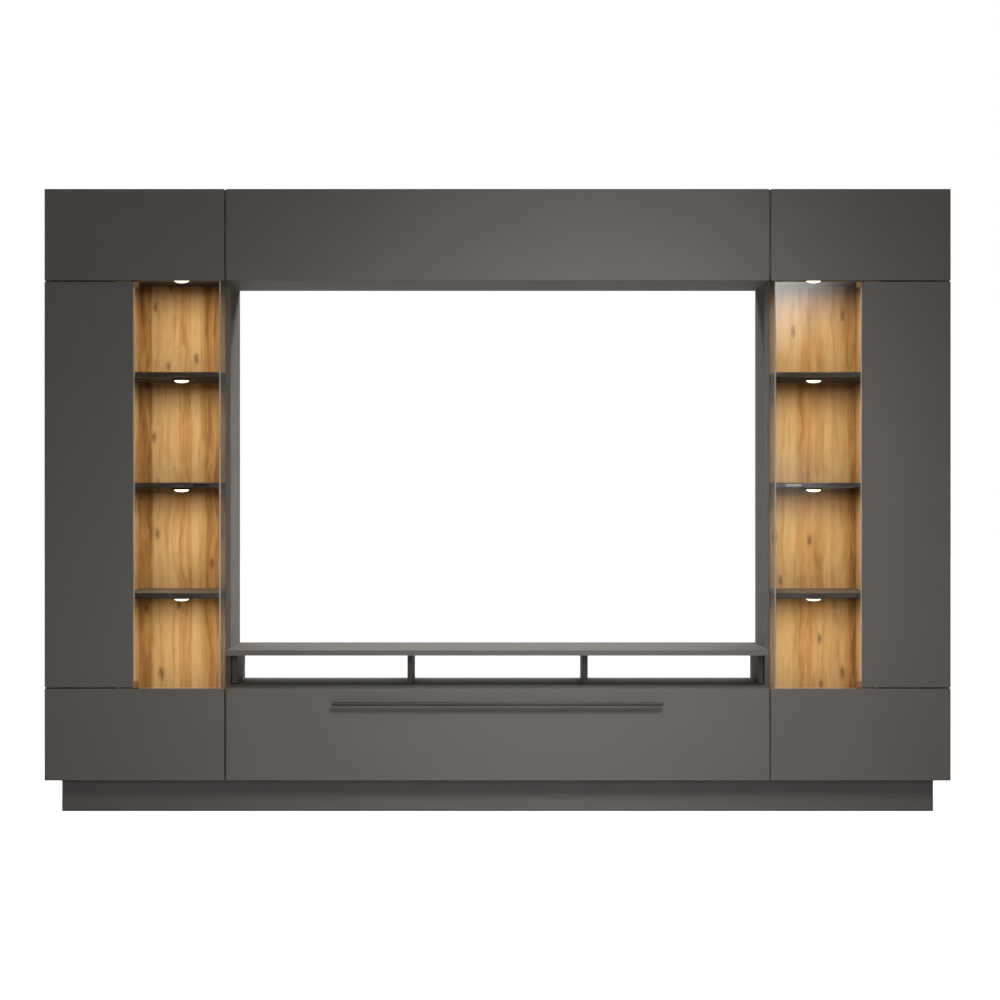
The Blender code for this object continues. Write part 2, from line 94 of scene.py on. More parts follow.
class Facing(Enum):
    """The direction that a small fitting's head looks in."""

    BACK = (0.0, 1.0, 0.0)
    FRONT = (0.0, -1.0, 0.0)
    LEFT = (-1.0, 0.0, 0.0)
    RIGHT = (1.0, 0.0, 0.0)
    UP = (0.0, 0.0, 1.0)
    DOWN = (0.0, 0.0, -1.0)


class Side(Enum):
    """The two towers, by the sign of their X."""

    LEFT = -1
    RIGHT = 1

    @property
    def word(self) -> str:
        """The name that this tower's pieces start with."""
        return self.name.lower()

    @property
    def inward(self) -> Facing:
        """The direction from its outer side to the middle of the unit."""
        return Facing.RIGHT if self is Side.LEFT else Facing.LEFT

    def boxes(self, parts: Iterable[str]) -> list[Box]:
        """The lowest and highest corners of these nodes of the tower."""
        return [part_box(f"{self.word}_{part}") for part in parts]


def linear(code: str) -> tuple[float, float, float, float]:
    """Turns a written sRGB colour into the linear values that shaders take.

    Args:
        code: Six hex digits, with or without a leading #.

    Returns:
        Linear red, green, blue, and an alpha of 1.
    """
    digits = code.lstrip("#")
    shares = [int(digits[place : place + 2], 16) / 255 for place in (0, 2, 4)]
    values = [s / 12.92 if s <= 0.04045 else ((s + 0.055) / 1.055) ** 2.4 for s in shares]
    return (values[0], values[1], values[2], 1.0)


def per_metre(size_mm: float) -> float:
    """The scale of a pattern whose marks are this many millimetres wide."""
    return 1 / (size_mm * MM)


def feed(node: Node, inputs: dict[str | int, Any]) -> None:
    """Gives a node's inputs their values and links.

    Args:
        node: The node.
        inputs: For each input's name or number, a value, an output, a node whose first output
            feeds it, or a list of outputs.
    """
    for key, given in inputs.items():
        for value in given if isinstance(given, list) else [given]:
            source = value.outputs[0] if isinstance(value, Node) else value
            if isinstance(source, Socket):
                node.id_data.links.new(source, node.inputs[key])
            else:
                node.inputs[key].default_value = source


def add_node(tree: Tree, kind: str, inputs: dict[str | int, Any] | None = None, **settings: Any) -> Node:
    """Adds one node with its settings and links.

    Args:
        tree: The tree that the node goes into.
        kind: The node's type.
        inputs: Its inputs, as feed takes them.
        **settings: The node's own settings; stops is a colour ramp's list of (place, colour).

    Returns:
        The new node.
    """
    node = tree.nodes.new(kind)
    for name, value in settings.items():
        if name == "stops":
            ramp = node.color_ramp.elements
            while len(ramp) < len(value):
                ramp.new(1.0)
            for stop, (place, colour) in zip(ramp, value):
                stop.position = place
                stop.color = colour
        else:
            setattr(node, name, value)
    feed(node, inputs or {})
    return node


def put(name: str, data: bpy.types.ID) -> Object:
    """Puts a new object in the scene, at the origin.

    Args:
        name: Its name.
        data: What it holds: a mesh, a lamp or a camera.

    Returns:
        The object.
    """
    made = bpy.data.objects.new(name, data)
    bpy.context.scene.collection.objects.link(made)
    return made


@dataclass(frozen=True)
class Finish:
    """A real finish, which builds the material that shows it."""

    name: str

    def start(self) -> tuple[Material, Callable[..., Node], Node]:
        """Makes the empty material.

        Returns:
            The material, the function that adds a node to it, and its shader.
        """
        made = bpy.data.materials.new(self.name)
        made.use_nodes = True
        return made, partial(add_node, made.node_tree), made.node_tree.nodes["Principled BSDF"]

    def build(self) -> Material:
        """Makes the material."""
        raise NotImplementedError


@dataclass(frozen=True)
class MattLaminate(Finish):
    """Melamine foil pressed on chipboard with a fine matt plate: no gloss, a dry even grey.

    The real grit is about 0.3 mm. It is drawn at 3.5 mm in the colour so that it shows.
    """

    colour: str
    deep: str
    grit_mm: float = 3.5
    cloud_mm: float = 180.0
    pore_mm: float = 0.6
    grit_share: float = 0.55
    cloud_share: float = 0.45
    least_share: float = 0.22
    roughness: float = 0.56
    specular: float = 0.5

    def build(self) -> Material:
        """Makes the material.

        Returns:
            The material.
        """
        made, add, shader = self.start()
        place = add("ShaderNodeTexCoord").outputs["Object"]
        patterns = ((self.grit_mm, 2.0, 0.7), (self.cloud_mm, 3.0, 0.5), (self.pore_mm, 1.0, 0.5))
        grit, cloud, pore = (
            add(
                "ShaderNodeTexNoise",
                {"Vector": place, "Scale": per_metre(size), "Detail": detail, "Roughness": rough},
            )
            for size, detail, rough in patterns
        )
        blend = add(
            "ShaderNodeMath",
            {0: grit, 1: self.grit_share, 2: self.least_share},
            operation="MULTIPLY_ADD",
        )
        share = add(
            "ShaderNodeMath",
            {0: cloud, 1: self.cloud_share, 2: blend},
            operation="MULTIPLY_ADD",
            use_clamp=True,
        )
        colours = {0: share, 6: linear(self.deep), 7: linear(self.colour)}
        tone = add("ShaderNodeMix", colours, data_type="RGBA")
        relief = add("ShaderNodeBump", {"Strength": 0.12, "Distance": 0.05 * MM, "Height": pore})
        feed(shader, {"Base Color": tone.outputs[2], "Normal": relief})
        feed(shader, {"Roughness": self.roughness, "Specular IOR Level": self.specular})
        return made


@dataclass(frozen=True)
class OakFoil(Finish):
    """Knotty oak foil, pressed with synchronous pores: staves, cathedral grain and small knots.

    The real pores are about 0.3 mm wide. The fibres are drawn 1.6 mm wide so that they show.
    Each pattern has a width and a length in millimetres, and its share is how far it moves the
    tone. A band of painted shade, where the oak is darker along a niche's side as if in shade,
    has the X + Y of its middle, half its width, and its shift of tone.
    """

    pale: str
    honey: str
    brown: str
    streak: str
    stave_mm: tuple[float, float] = (48.0, 9000.0)
    fibre_mm: tuple[float, float] = (1.6, 160.0)
    figure_mm: tuple[float, float] = (34.0, 250.0)
    sway_mm: tuple[float, float] = (70.0, 210.0)
    streak_mm: tuple[float, float] = (9.0, 130.0)
    fray_mm: tuple[float, float] = (14.0, 14.0)
    knot_mm: tuple[float, float] = (120.0, 120.0)
    knot_turn: float = 28.0
    knot_slimness: float = 2.6
    knot_reach: float = 0.24
    knot_depth: float = 0.72
    knot_rarity: float = 0.80
    fray_share: float = 0.16
    figure_share: float = 0.52
    least_share: float = 0.11
    ring_share: float = 0.09
    fibre_share: float = 0.05
    stave_share: float = 0.16
    streak_depth: float = 0.36
    # Bands of painted shade: darker oak along the niches' sides, where shade falls.
    brown_staves: tuple[tuple[float, float, float], ...] = (
        (-1.062, 0.022, -0.10),
        (-0.826, 0.038, -0.20),
        (1.470, 0.018, -0.12),
    )
    roughness: float = 0.48

    def build(self) -> Material:
        """Makes the material.

        Returns:
            The material.
        """
        made, add, shader = self.start()
        place = add("ShaderNodeTexCoord").outputs["Object"]
        parts = add("ShaderNodeSeparateXYZ", {0: place}).outputs
        across = add("ShaderNodeMath", {0: parts[0], 1: parts[1]}, operation="ADD")

        def plane(size_mm: tuple[float, float], shift: float = 0.0) -> Node:
            """The board's own plane, scaled to one pattern's marks.

            Args:
                size_mm: A mark's width and length, each of which becomes one unit.
                shift: How far the pattern is moved, in those units.

            Returns:
                The node that gives the place on the plane.
            """
            scaled = [
                add("ShaderNodeMath", {0: way, 1: per_metre(size), 2: shift}, operation="MULTIPLY_ADD")
                for way, size in zip((across, parts[2]), size_mm)
            ]
            return add("ShaderNodeCombineXYZ", {0: scaled[0], 1: scaled[1]})

        layers = (
            (self.sway_mm, 3.1, 2.0, 0.5),
            (self.fibre_mm, 1.9, 3.0, 0.6),
            (self.streak_mm, 8.3, 4.0, 0.7),
            (self.fray_mm, 4.4, 2.0, 0.5),
        )
        sway, fibre, streaks, ragged = (
            add(
                "ShaderNodeTexNoise",
                {"Vector": plane(size, shift), "Scale": 1.0, "Detail": detail, "Roughness": rough},
                noise_dimensions="2D",
            )
            for size, shift, detail, rough in layers
        )
        swayed = add(
            "ShaderNodeVectorMath",
            {0: plane(self.figure_mm), 1: sway.outputs["Color"]},
            operation="ADD",
        )
        stave = add(
            "ShaderNodeTexVoronoi",
            {"Vector": plane(self.stave_mm, 5.7), "Scale": 1.0, "Smoothness": 0.12, "Randomness": 1.0},
            voronoi_dimensions="2D",
            feature="SMOOTH_F1",
        )
        stave_tone = add("ShaderNodeSeparateColor", {0: stave.outputs["Color"]})
        figure = add(
            "ShaderNodeTexNoise",
            {"Vector": swayed, "Scale": 1.0, "Detail": 5.0, "Roughness": 0.62},
            noise_dimensions="2D",
        )
        bends = {"Distortion": 5.0, "Detail": 3.0, "Detail Scale": 1.1, "Detail Roughness": 0.6}
        rings = add(
            "ShaderNodeTexWave",
            {"Vector": swayed, "Scale": 0.36, **bends},
            wave_type="BANDS",
            bands_direction="X",
            wave_profile="SAW",
        )
        mixed = add(
            "ShaderNodeMath",
            {0: figure, 1: self.figure_share, 2: self.least_share},
            operation="MULTIPLY_ADD",
        )
        for source, share in (
            (rings.outputs["Fac"], self.ring_share),
            (fibre, self.fibre_share),
            (stave_tone, self.stave_share),
        ):
            mixed = add("ShaderNodeMath", {0: source, 1: share, 2: mixed}, operation="MULTIPLY_ADD")
        # Painted shade: darkens the oak in a soft band along each niche's side.
        for centre, half, shift in self.brown_staves:
            offset = add("ShaderNodeMath", {0: across, 1: centre}, operation="SUBTRACT")
            distance = add("ShaderNodeMath", {0: offset}, operation="ABSOLUTE")
            inside = add(
                "ShaderNodeMapRange",
                {0: distance, 1: half * 0.5, 2: half * 1.4, 3: shift, 4: 0.0},
                interpolation_type="SMOOTHSTEP",
            )
            mixed = add("ShaderNodeMath", {0: inside, 1: mixed}, operation="ADD")
        stops = [(0.26, self.brown), (0.42, self.honey), (0.62, self.pale), (0.84, self.honey)]
        tone = add(
            "ShaderNodeValToRGB",
            {0: mixed},
            stops=[(position, linear(colour)) for position, colour in stops],
        )
        dark_streaks = add(
            "ShaderNodeMapRange",
            {0: streaks, 1: 0.58, 2: 0.80, 3: 0.0, 4: self.streak_depth},
            interpolation_type="SMOOTHSTEP",
        )
        slanted = add(
            "ShaderNodeMapping",
            {
                "Vector": plane(self.knot_mm, 0.37),
                "Rotation": (0.0, 0.0, math.radians(self.knot_turn)),
                "Scale": (self.knot_slimness, 1.0, 1.0),
            },
        )
        frayed = add(
            "ShaderNodeMix",
            {0: self.fray_share, 4: slanted, 5: ragged.outputs["Color"]},
            data_type="VECTOR",
        )
        knot = add(
            "ShaderNodeTexVoronoi",
            {"Vector": frayed.outputs[1], "Scale": 1.0, "Randomness": 1.0},
            voronoi_dimensions="2D",
        ).outputs
        core = add(
            "ShaderNodeMapRange",
            {0: knot["Distance"], 1: 0.0, 2: self.knot_reach, 3: self.knot_depth, 4: 0.0},
            interpolation_type="SMOOTHSTEP",
        )
        draw = add("ShaderNodeSeparateColor", {0: knot["Color"]}).outputs[1]
        rare = add("ShaderNodeMath", {0: draw, 1: self.knot_rarity}, operation="GREATER_THAN")
        knots = add("ShaderNodeMath", {0: core, 1: rare}, operation="MULTIPLY")
        marks = add("ShaderNodeMath", {0: dark_streaks, 1: knots}, operation="MAXIMUM")
        colour = add("ShaderNodeMix", {0: marks, 6: tone, 7: linear(self.streak)}, data_type="RGBA")
        relief = add("ShaderNodeBump", {"Strength": 0.25, "Distance": 0.15 * MM, "Height": fibre})
        feed(shader, {"Base Color": colour.outputs[2], "Normal": relief, "Roughness": self.roughness})
        return made


@dataclass(frozen=True)
class FloatGlass(Finish):
    """Clear float glass, fire polished: see-through with a soft white reflection."""

    tint: str
    roughness: float = 0.0
    ior: float = 1.5

    def build(self) -> Material:
        """Makes the material.

        Returns:
            The material.
        """
        made, _, shader = self.start()
        feed(shader, {"Base Color": linear(self.tint), "Transmission Weight": 1.0})
        feed(shader, {"IOR": self.ior, "Roughness": self.roughness})
        return made


@dataclass(frozen=True)
class GroundGlassEdge(Finish):
    """A pane's ground and polished edge: it scatters the light that the pane guides to it.

    The real grit is under 0.1 mm. It is drawn at about 1.1 mm so that it shows close up.
    """

    tint: str
    grit_mm: float = 10 / 9
    roughness: float = 0.22
    clearness: float = 0.35

    def build(self) -> Material:
        """Makes the material.

        Returns:
            The material.
        """
        made, add, shader = self.start()
        place = add("ShaderNodeTexCoord").outputs["Object"]
        ground = add("ShaderNodeTexNoise", {"Vector": place, "Scale": per_metre(self.grit_mm)})
        relief = add("ShaderNodeBump", {"Strength": 0.2, "Distance": 0.05 * MM, "Height": ground})
        feed(shader, {"Normal": relief, "Base Color": linear(self.tint)})
        feed(shader, {"Roughness": self.roughness, "Transmission Weight": self.clearness})
        return made


@dataclass(frozen=True)
class BrushedMetal(Finish):
    """Drawn and plated or lacquered metal, with fine lines along X that stretch its highlights.

    The real lines are about 0.1 mm apart. They are drawn at 0.4 mm so that they show close up.
    """

    colour: str
    metallic: float
    roughness: float
    line_mm: float = 0.4
    line_length_mm: float = 40.0
    relief: float = 0.1

    def build(self) -> Material:
        """Makes the material.

        Returns:
            The material.
        """
        made, add, shader = self.start()
        place = add("ShaderNodeTexCoord").outputs["Object"]
        fine = per_metre(self.line_mm)
        stretch = (per_metre(self.line_length_mm), fine, fine)
        drawn = add("ShaderNodeMapping", {"Vector": place, "Scale": stretch})
        lines = add("ShaderNodeTexNoise", {"Vector": drawn, "Scale": 1.0, "Detail": 2.0})
        ends = {3: self.roughness - 0.05, 4: self.roughness + 0.07}
        rough = add("ShaderNodeMapRange", {0: lines, **ends})
        relief = add("ShaderNodeBump", {"Strength": self.relief, "Distance": 0.03 * MM, "Height": lines})
        feed(shader, {"Roughness": rough, "Normal": relief})
        feed(shader, {"Base Color": linear(self.colour), "Metallic": self.metallic})
        return made


@dataclass(frozen=True)
class MouldedPlastic(Finish):
    """Injection-moulded plastic from a spark-eroded mould: an even, slightly dull grain.

    The real grain is about 0.1 mm. It is drawn at 0.5 mm so that it shows close up.
    """

    colour: str
    roughness: float = 0.5
    grain_mm: float = 0.5

    def build(self) -> Material:
        """Makes the material.

        Returns:
            The material.
        """
        made, add, shader = self.start()
        place = add("ShaderNodeTexCoord").outputs["Object"]
        grain = add("ShaderNodeTexNoise", {"Vector": place, "Scale": per_metre(self.grain_mm)})
        relief = add("ShaderNodeBump", {"Strength": 0.15, "Distance": 0.04 * MM, "Height": grain})
        feed(shader, {"Normal": relief, "Base Color": linear(self.colour), "Roughness": self.roughness})
        return made


@dataclass(frozen=True)
class LitDiffuser(Finish):
    """Opal acrylic with light diodes behind it: a warm white glow over the whole dome."""

    colour: str
    glow: float
    roughness: float = 0.35

    def build(self) -> Material:
        """Makes the material.

        Returns:
            The material.
        """
        made, _, shader = self.start()
        feed(shader, {"Base Color": linear(self.colour), "Roughness": self.roughness})
        feed(shader, {"Emission Color": linear(self.colour), "Emission Strength": self.glow})
        return made


@dataclass(frozen=True)
class SoftCard(Finish):
    """A lit card whose light fades out towards its rim, so that its mirror image is soft."""

    centre: Point
    reach: float
    glow: float

    def build(self) -> Material:
        """Makes the material.

        Returns:
            The material.
        """
        made, add, shader = self.start()
        place = add("ShaderNodeTexCoord").outputs["Object"]
        distance = add("ShaderNodeVectorMath", {0: place, 1: self.centre}, operation="DISTANCE")
        fade = add(
            "ShaderNodeMapRange",
            {0: distance.outputs["Value"], 1: 0.0, 2: self.reach, 3: self.glow, 4: 0.0},
            interpolation_type="SMOOTHERSTEP",
        )
        feed(shader, {"Base Color": (0.0, 0.0, 0.0, 1.0), "Specular IOR Level": 0.0})
        feed(shader, {"Emission Color": WHITE, "Emission Strength": fade})
        return made


@dataclass(frozen=True)
class StudioPaper(Finish):
    """White floor paper: it takes the unit's shadow, and the camera sees its open part as white.

    In mirrors its part before the unit is dusky, like the dark room that the camera stands in.
    """

    colour: str
    lift: float
    dusk: str = "#303030"
    mirror_share: float = 0.35
    mirror_start: float = 1.5
    roughness: float = 0.9

    def build(self) -> Material:
        """Makes the material.

        Returns:
            The material.
        """
        made, add, shader = self.start()
        path = add("ShaderNodeLightPath").outputs
        camera, glossy, clear = (path[f"Is {kind} Ray"] for kind in ("Camera", "Glossy", "Transmission"))
        place = add("ShaderNodeTexCoord").outputs["Object"]
        depth = add("ShaderNodeSeparateXYZ", {0: place}).outputs[1]
        beyond = add("ShaderNodeMath", {0: depth, 1: 0.0}, operation="GREATER_THAN")
        through = add("ShaderNodeMath", {0: clear, 1: beyond}, operation="MULTIPLY")
        seen = add("ShaderNodeMath", {0: camera, 1: through}, operation="MAXIMUM")
        bounced = add("ShaderNodeMath", {0: glossy, 1: clear}, operation="MAXIMUM")
        unseen = add("ShaderNodeMath", {0: bounced, 1: beyond}, operation="SUBTRACT", use_clamp=True)
        colours = {0: unseen, 6: linear(self.colour), 7: linear(self.dusk)}
        tone = add("ShaderNodeMix", colours, data_type="RGBA")
        behind = add("ShaderNodeMapRange", {0: depth, 1: 0.0, 2: self.mirror_start, 4: self.mirror_share})
        mirrored = add("ShaderNodeMath", {0: glossy, 1: behind}, operation="MULTIPLY")
        shown = add("ShaderNodeMath", {0: seen, 1: mirrored}, operation="MAXIMUM")
        strength = add("ShaderNodeMath", {0: shown, 1: self.lift}, operation="MULTIPLY")
        feed(shader, {"Base Color": tone.outputs[2], "Roughness": self.roughness})
        feed(shader, {"Emission Color": WHITE, "Emission Strength": strength, "Specular IOR Level": 0.0})
        return made


def flat_sheet(name: str, corners: Sequence[Point], finish: Finish) -> Object:
    """Makes a four-cornered sheet that belongs to the studio.

    Args:
        name: Its name.
        corners: Its corners, in order.
        finish: Its finish.

    Returns:
        The sheet.
    """
    data = bpy.data.meshes.new(name)
    data.from_pydata(corners, [], [(0, 1, 2, 3)])
    data.materials.append(finish.build())
    made = put(name, data)
    return made


def coat(finish: Finish) -> Any:
    """A field that holds this finish's material, built with its set."""
    return field(default_factory=finish.build)


@dataclass
class Finishes:
    """Every finish of the unit, built once."""

    laminate: Material = coat(MattLaminate("anthracite_melamine_laminate", "#65615D", "#5B5754"))
    plinth: Material = coat(MattLaminate("anthracite_plinth_laminate", "#5F5B5A", "#565352"))
    # A darker copy of the anthracite laminate, painted shade: the niche shelves and the decks' undersides
    # take it so that they look shaded.
    shelf: Material = coat(
        MattLaminate("graphite_shelf_laminate", "#4C4A47", "#454341", roughness=0.75, specular=0.15)
    )
    # A lighter copy of the shelf laminate, painted light: the shelves' front faces take it so that they
    # look lit from the front.
    edge_band: Material = coat(MattLaminate("graphite_edge_band", "#8C8A87", "#848280", roughness=0.6))
    oak: Material = coat(OakFoil("knotty_oak_foil", "#C0A882", "#A9865A", "#805B35", "#4A3019"))
    glass: Material = coat(FloatGlass("clear_float_glass", "#FAFAF7"))
    glass_edge: Material = coat(GroundGlassEdge("ground_glass_edge", "#DBD0C6"))
    nickel: Material = coat(BrushedMetal("nickel_plated_steel", "#B9B7B2", 1.0, 0.26))
    polished: Material = coat(BrushedMetal("polished_nickel", "#C6C4C0", 1.0, 0.06, relief=0.01))
    grey_metal: Material = coat(BrushedMetal("grey_lacquered_aluminium", "#5C5B59", 0.3, 0.42))
    housing: Material = coat(MouldedPlastic("dark_moulded_nylon", "#211F1E"))
    honey_nylon: Material = coat(MouldedPlastic("honey_moulded_nylon", "#8E6B42"))
    silicone: Material = coat(MouldedPlastic("clear_silicone", "#A5A49F", 0.3, 0.8))
    diffuser: Material = coat(LitDiffuser("opal_acrylic_diffuser", "#FFE8CC", 3.0))


class MeshMaker:
    """Gathers closed shapes in one mesh, and makes a piece of them."""

    def __init__(self) -> None:
        """Starts an empty mesh."""
        self.mesh = bmesh.new()

    def box(
        self, low: Point, high: Point, radius: float = 0.0, segments: int = 3, slot: int = 0
    ) -> MeshMaker:
        """Adds a box with rounded edges.

        Args:
            low: The lowest corner.
            high: The highest corner.
            radius: The rounding of every edge.
            segments: The number of facets of the rounding.
            slot: The number of the finish.

        Returns:
            This maker.
        """
        centre = (Vector(low) + Vector(high)) / 2
        size = Vector(high) - Vector(low)
        place = Matrix.Translation(centre) @ Matrix.Diagonal((*size, 1))
        before = set(self.mesh.faces)
        made = bmesh.ops.create_cube(self.mesh, size=1, matrix=place)
        if radius > 0:
            edges = list(dict.fromkeys(edge for point in made["verts"] for edge in point.link_edges))
            rounding = {"offset": radius, "segments": segments, "profile": 0.5}
            bmesh.ops.bevel(self.mesh, geom=edges, affect="EDGES", **rounding)
        for face in set(self.mesh.faces) - before:
            face.material_index = slot
        return self

    def turned(self, centre: Point, axis: Point, profile: Profile, sides: int = 48) -> MeshMaker:
        """Adds a turned shape.

        Args:
            centre: The start of its axis.
            axis: The direction of its axis.
            profile: Radius, height along the axis, and finish number from there on, pole to pole.
            sides: The number of facets round it.

        Returns:
            This maker.
        """
        turn = Vector(axis).to_track_quat("Z", "Y").to_matrix()
        rings: list[list[bmesh.types.BMVert]] = []
        for radius, height, _ in profile:
            count = sides if radius > 0 else 1
            angles = [2 * math.pi * step / count for step in range(count)]
            ring = [Vector((radius * math.cos(a), radius * math.sin(a), height)) for a in angles]
            rings.append([self.mesh.verts.new(Vector(centre) + turn @ point) for point in ring])
        for (near, far), (_, _, slot) in zip(zip(rings, rings[1:]), profile):
            for step in range(sides):
                corners = [near[step % len(near)], near[(step + 1) % len(near)]]
                corners += [far[(step + 1) % len(far)], far[step % len(far)]]
                face = self.mesh.faces.new(list(dict.fromkeys(corners)))
                face.material_index = slot
        return self

    def finish(self, name: str, finishes: Iterable[Material]) -> Object:
        """Makes the piece.

        Args:
            name: The piece's name.
            finishes: Its finishes, in the order of their numbers.

        Returns:
            The object, at the origin, with its place in its mesh.
        """
        bmesh.ops.recalc_face_normals(self.mesh, faces=self.mesh.faces)
        data = bpy.data.meshes.new(name)
        self.mesh.to_mesh(data)
        self.mesh.free()
        for finish in finishes:
            data.materials.append(finish)
        data.shade_smooth()
        data.set_sharp_from_angle(angle=math.radians(35))
        return put(name, data)


@dataclass(frozen=True)
class HeadSizes:
    """One kind of small round head: a screw head, a cap, a pin or a bumper."""

    radius: float
    height: float
    crossed: bool = True
    recess: float = 1.1 * MM
    top_share: float = 0.74
    sides: int = 20


class RoundHeads:
    """The Geometry Nodes tree that sets one small round head on every point that it is given."""

    inputs = {
        "Geometry": "NodeSocketGeometry",
        "Head Radius": "NodeSocketFloat",
        "Head Height": "NodeSocketFloat",
        "Top Share": "NodeSocketFloat",
        "Recess Width": "NodeSocketFloat",
        "Cross Recess": "NodeSocketBool",
        "Sides": "NodeSocketInt",
        "Facing": "NodeSocketVector",
        "Finish": "NodeSocketMaterial",
    }

    def __init__(self) -> None:
        """Builds the tree, with its sizes as named inputs."""
        self.tree = bpy.data.node_groups.new("round_heads_on_points", "GeometryNodeTree")
        for name, kind in self.inputs.items():
            self.tree.interface.new_socket(name, in_out="INPUT", socket_type=kind)
        self.tree.interface.new_socket("Geometry", in_out="OUTPUT", socket_type="NodeSocketGeometry")
        add = partial(add_node, self.tree)
        given = add("NodeGroupInput").outputs
        radius, height, width = given["Head Radius"], given["Head Height"], given["Recess Width"]
        top = add("ShaderNodeMath", {0: radius, 1: given["Top Share"]}, operation="MULTIPLY")
        cone = {"Vertices": given["Sides"], "Radius Top": top, "Radius Bottom": radius, "Depth": height}
        head = add("GeometryNodeMeshCone", cone).outputs["Mesh"]
        lift = add("ShaderNodeCombineXYZ", {2: height})
        blades = []
        for long, wide in ((top, width), (width, top)):
            size = add("ShaderNodeCombineXYZ", {0: long, 1: wide, 2: height})
            blade = add("GeometryNodeMeshCube", {"Size": size}).outputs["Mesh"]
            raised = add("GeometryNodeTransform", {"Geometry": blade, "Translation": lift})
            blades.append(raised)
        sunk = add("GeometryNodeMeshBoolean", {"Mesh 1": head, "Mesh 2": blades}, operation="DIFFERENCE")
        choice = {"Switch": given["Cross Recess"], "False": head, "True": sunk}
        chosen = add("GeometryNodeSwitch", choice, input_type="GEOMETRY")
        turn = add("FunctionNodeAlignRotationToVector", {"Vector": given["Facing"]}, axis="Z")
        places = {"Points": given["Geometry"], "Instance": chosen, "Rotation": turn}
        placed = add("GeometryNodeInstanceOnPoints", places)
        real = add("GeometryNodeRealizeInstances", {"Geometry": placed})
        dressed = add("GeometryNodeSetMaterial", {"Geometry": real, "Material": given["Finish"]})
        add("NodeGroupOutput", {"Geometry": dressed})

    def grow(
        self, name: str, points: Sequence[Point], facing: Facing, sizes: HeadSizes, finish: Material
    ) -> Object:
        """Sets a head on each point and returns them all as one plain mesh piece.

        Args:
            name: The piece's name.
            points: Where each head sits on its board.
            facing: The way that the heads look.
            sizes: Their sizes.
            finish: Their finish.

        Returns:
            The object, at the origin, with no modifier left.
        """
        places = bpy.data.meshes.new(name + "_places")
        places.from_pydata([tuple(point) for point in points], [], [])
        seed = put(name + "_places", places)
        growth = seed.modifiers.new("growth", "NODES")
        growth.node_group = self.tree
        values = {
            "Head Radius": sizes.radius,
            "Head Height": sizes.height,
            "Top Share": sizes.top_share,
            "Recess Width": sizes.recess,
            "Cross Recess": sizes.crossed,
            "Sides": sizes.sides,
            "Facing": facing.value,
            "Finish": finish,
        }
        for socket in self.tree.interface.items_tree:
            if socket.in_out == "INPUT" and socket.name in values:
                growth[socket.identifier] = values[socket.name]
        graph = bpy.context.evaluated_depsgraph_get()
        data = bpy.data.meshes.new_from_object(seed.evaluated_get(graph), depsgraph=graph)
        bpy.data.objects.remove(seed)
        data.name = name
        return put(name, data)


def ride(piece: Object, body: str, slot: str | None = None) -> None:
    """Makes a finished piece move with a body and reports it.

    Args:
        piece: The piece.
        body: The body.
        slot: Not used.
    """
    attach(piece, body)
    LOG.info("%s rides on %s", piece.name, body)


def dress(node: Object, finishes: Sequence[Material], choose: Chooser | None = None) -> None:
    """Gives a packed board or fitting its finishes.

    Args:
        node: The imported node's object.
        finishes: Its finishes.
        choose: From a face's centre and normal, the number of its finish.
    """
    node.data.materials.clear()
    for finish in finishes:
        node.data.materials.append(finish)
    for face in node.data.polygons:
        face.material_index = choose(face.center, face.normal) if choose else 0
    LOG.info("%s is dressed in %s", node.name, ", ".join(f.name for f in finishes))


@dataclass
class UnitSizes:
    """The unit's main planes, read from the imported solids."""

    half_width: float
    front_y: float
    top: float
    board: float
    front_board: float
    outer_face: float
    carcass_y: float
    back_y: float
    rear_y: float

    @classmethod
    def read(cls) -> UnitSizes:
        """Reads them from the boxes of a few boards.

        Returns:
            The sizes.
        """
        parts = ("tall_door", "outer_side", "inner_side", "back")
        door, side, inner, back = Side.RIGHT.boxes(parts)
        board = inner[1].x - inner[0].x
        return cls(
            half_width=side[1].x,
            front_y=door[0].y,
            top=side[1].z,
            board=board,
            front_board=18 * MM,
            outer_face=side[1].x - board,
            carcass_y=side[0].y,
            back_y=back[0].y,
            rear_y=back[1].y,
        )


@dataclass
class CupHinge:
    """One cup hinge, by its point on the front's outer corner line and its directions."""

    edge: Vector
    inward: Vector
    along: Vector
    cup_distance: float = 22 * MM
    cup_reach: float = 20.7 * MM
    bore_inset: float = 3 * MM
    bore_floor: float = 6 * MM
    hair: float = 0.1 * MM
    wing_distance: float = 25 * MM
    wing_half: float = 29 * MM
    wing_width: float = 11 * MM
    wing_thickness: float = 0.9 * MM
    wing_rounding: float = 0.3 * MM
    wing_screw: float = 24 * MM

    def at(self, inward: float, back: float, along: float = 0.0) -> Vector:
        """The point at these distances from the edge point."""
        return self.edge + self.inward * inward + Vector((0, back, 0)) + self.along * along

    def holds(self, point: Vector, front_board: float) -> bool:
        """Whether a point of the front belongs to this hinge's cup.

        Args:
            point: The point.
            front_board: The front's thickness.

        Returns:
            True in the cup's bore, and on its rim behind the front.
        """
        gap = point - self.at(self.cup_distance, 0)
        flat = math.hypot(gap.dot(self.inward), gap.dot(self.along))
        inside = self.bore_floor < gap.y < front_board - self.hair
        in_bore = inside and flat < self.cup_reach - self.bore_inset
        return in_bore or (flat < self.cup_reach and gap.y > front_board + self.hair)

    def add_wing(self, maker: MeshMaker, front_board: float) -> None:
        """Adds the cup's screwed wing plate on the front's back face.

        Args:
            maker: The mesh that takes it.
            front_board: The front's thickness.
        """
        half = self.wing_width / 2
        start = self.at(self.wing_distance - half, front_board, -self.wing_half)
        end = self.at(self.wing_distance + half, front_board + self.wing_thickness, self.wing_half)
        low, high = (tuple(pick(pair) for pair in zip(start, end)) for pick in (min, max))
        maker.box(low, high, self.wing_rounding, 2)


@dataclass
class HingeRow:
    """The hinges of one door or flap, and the board that carries their plates."""

    front: str
    carrier: str
    hinges: list[CupHinge]
    facing: Facing


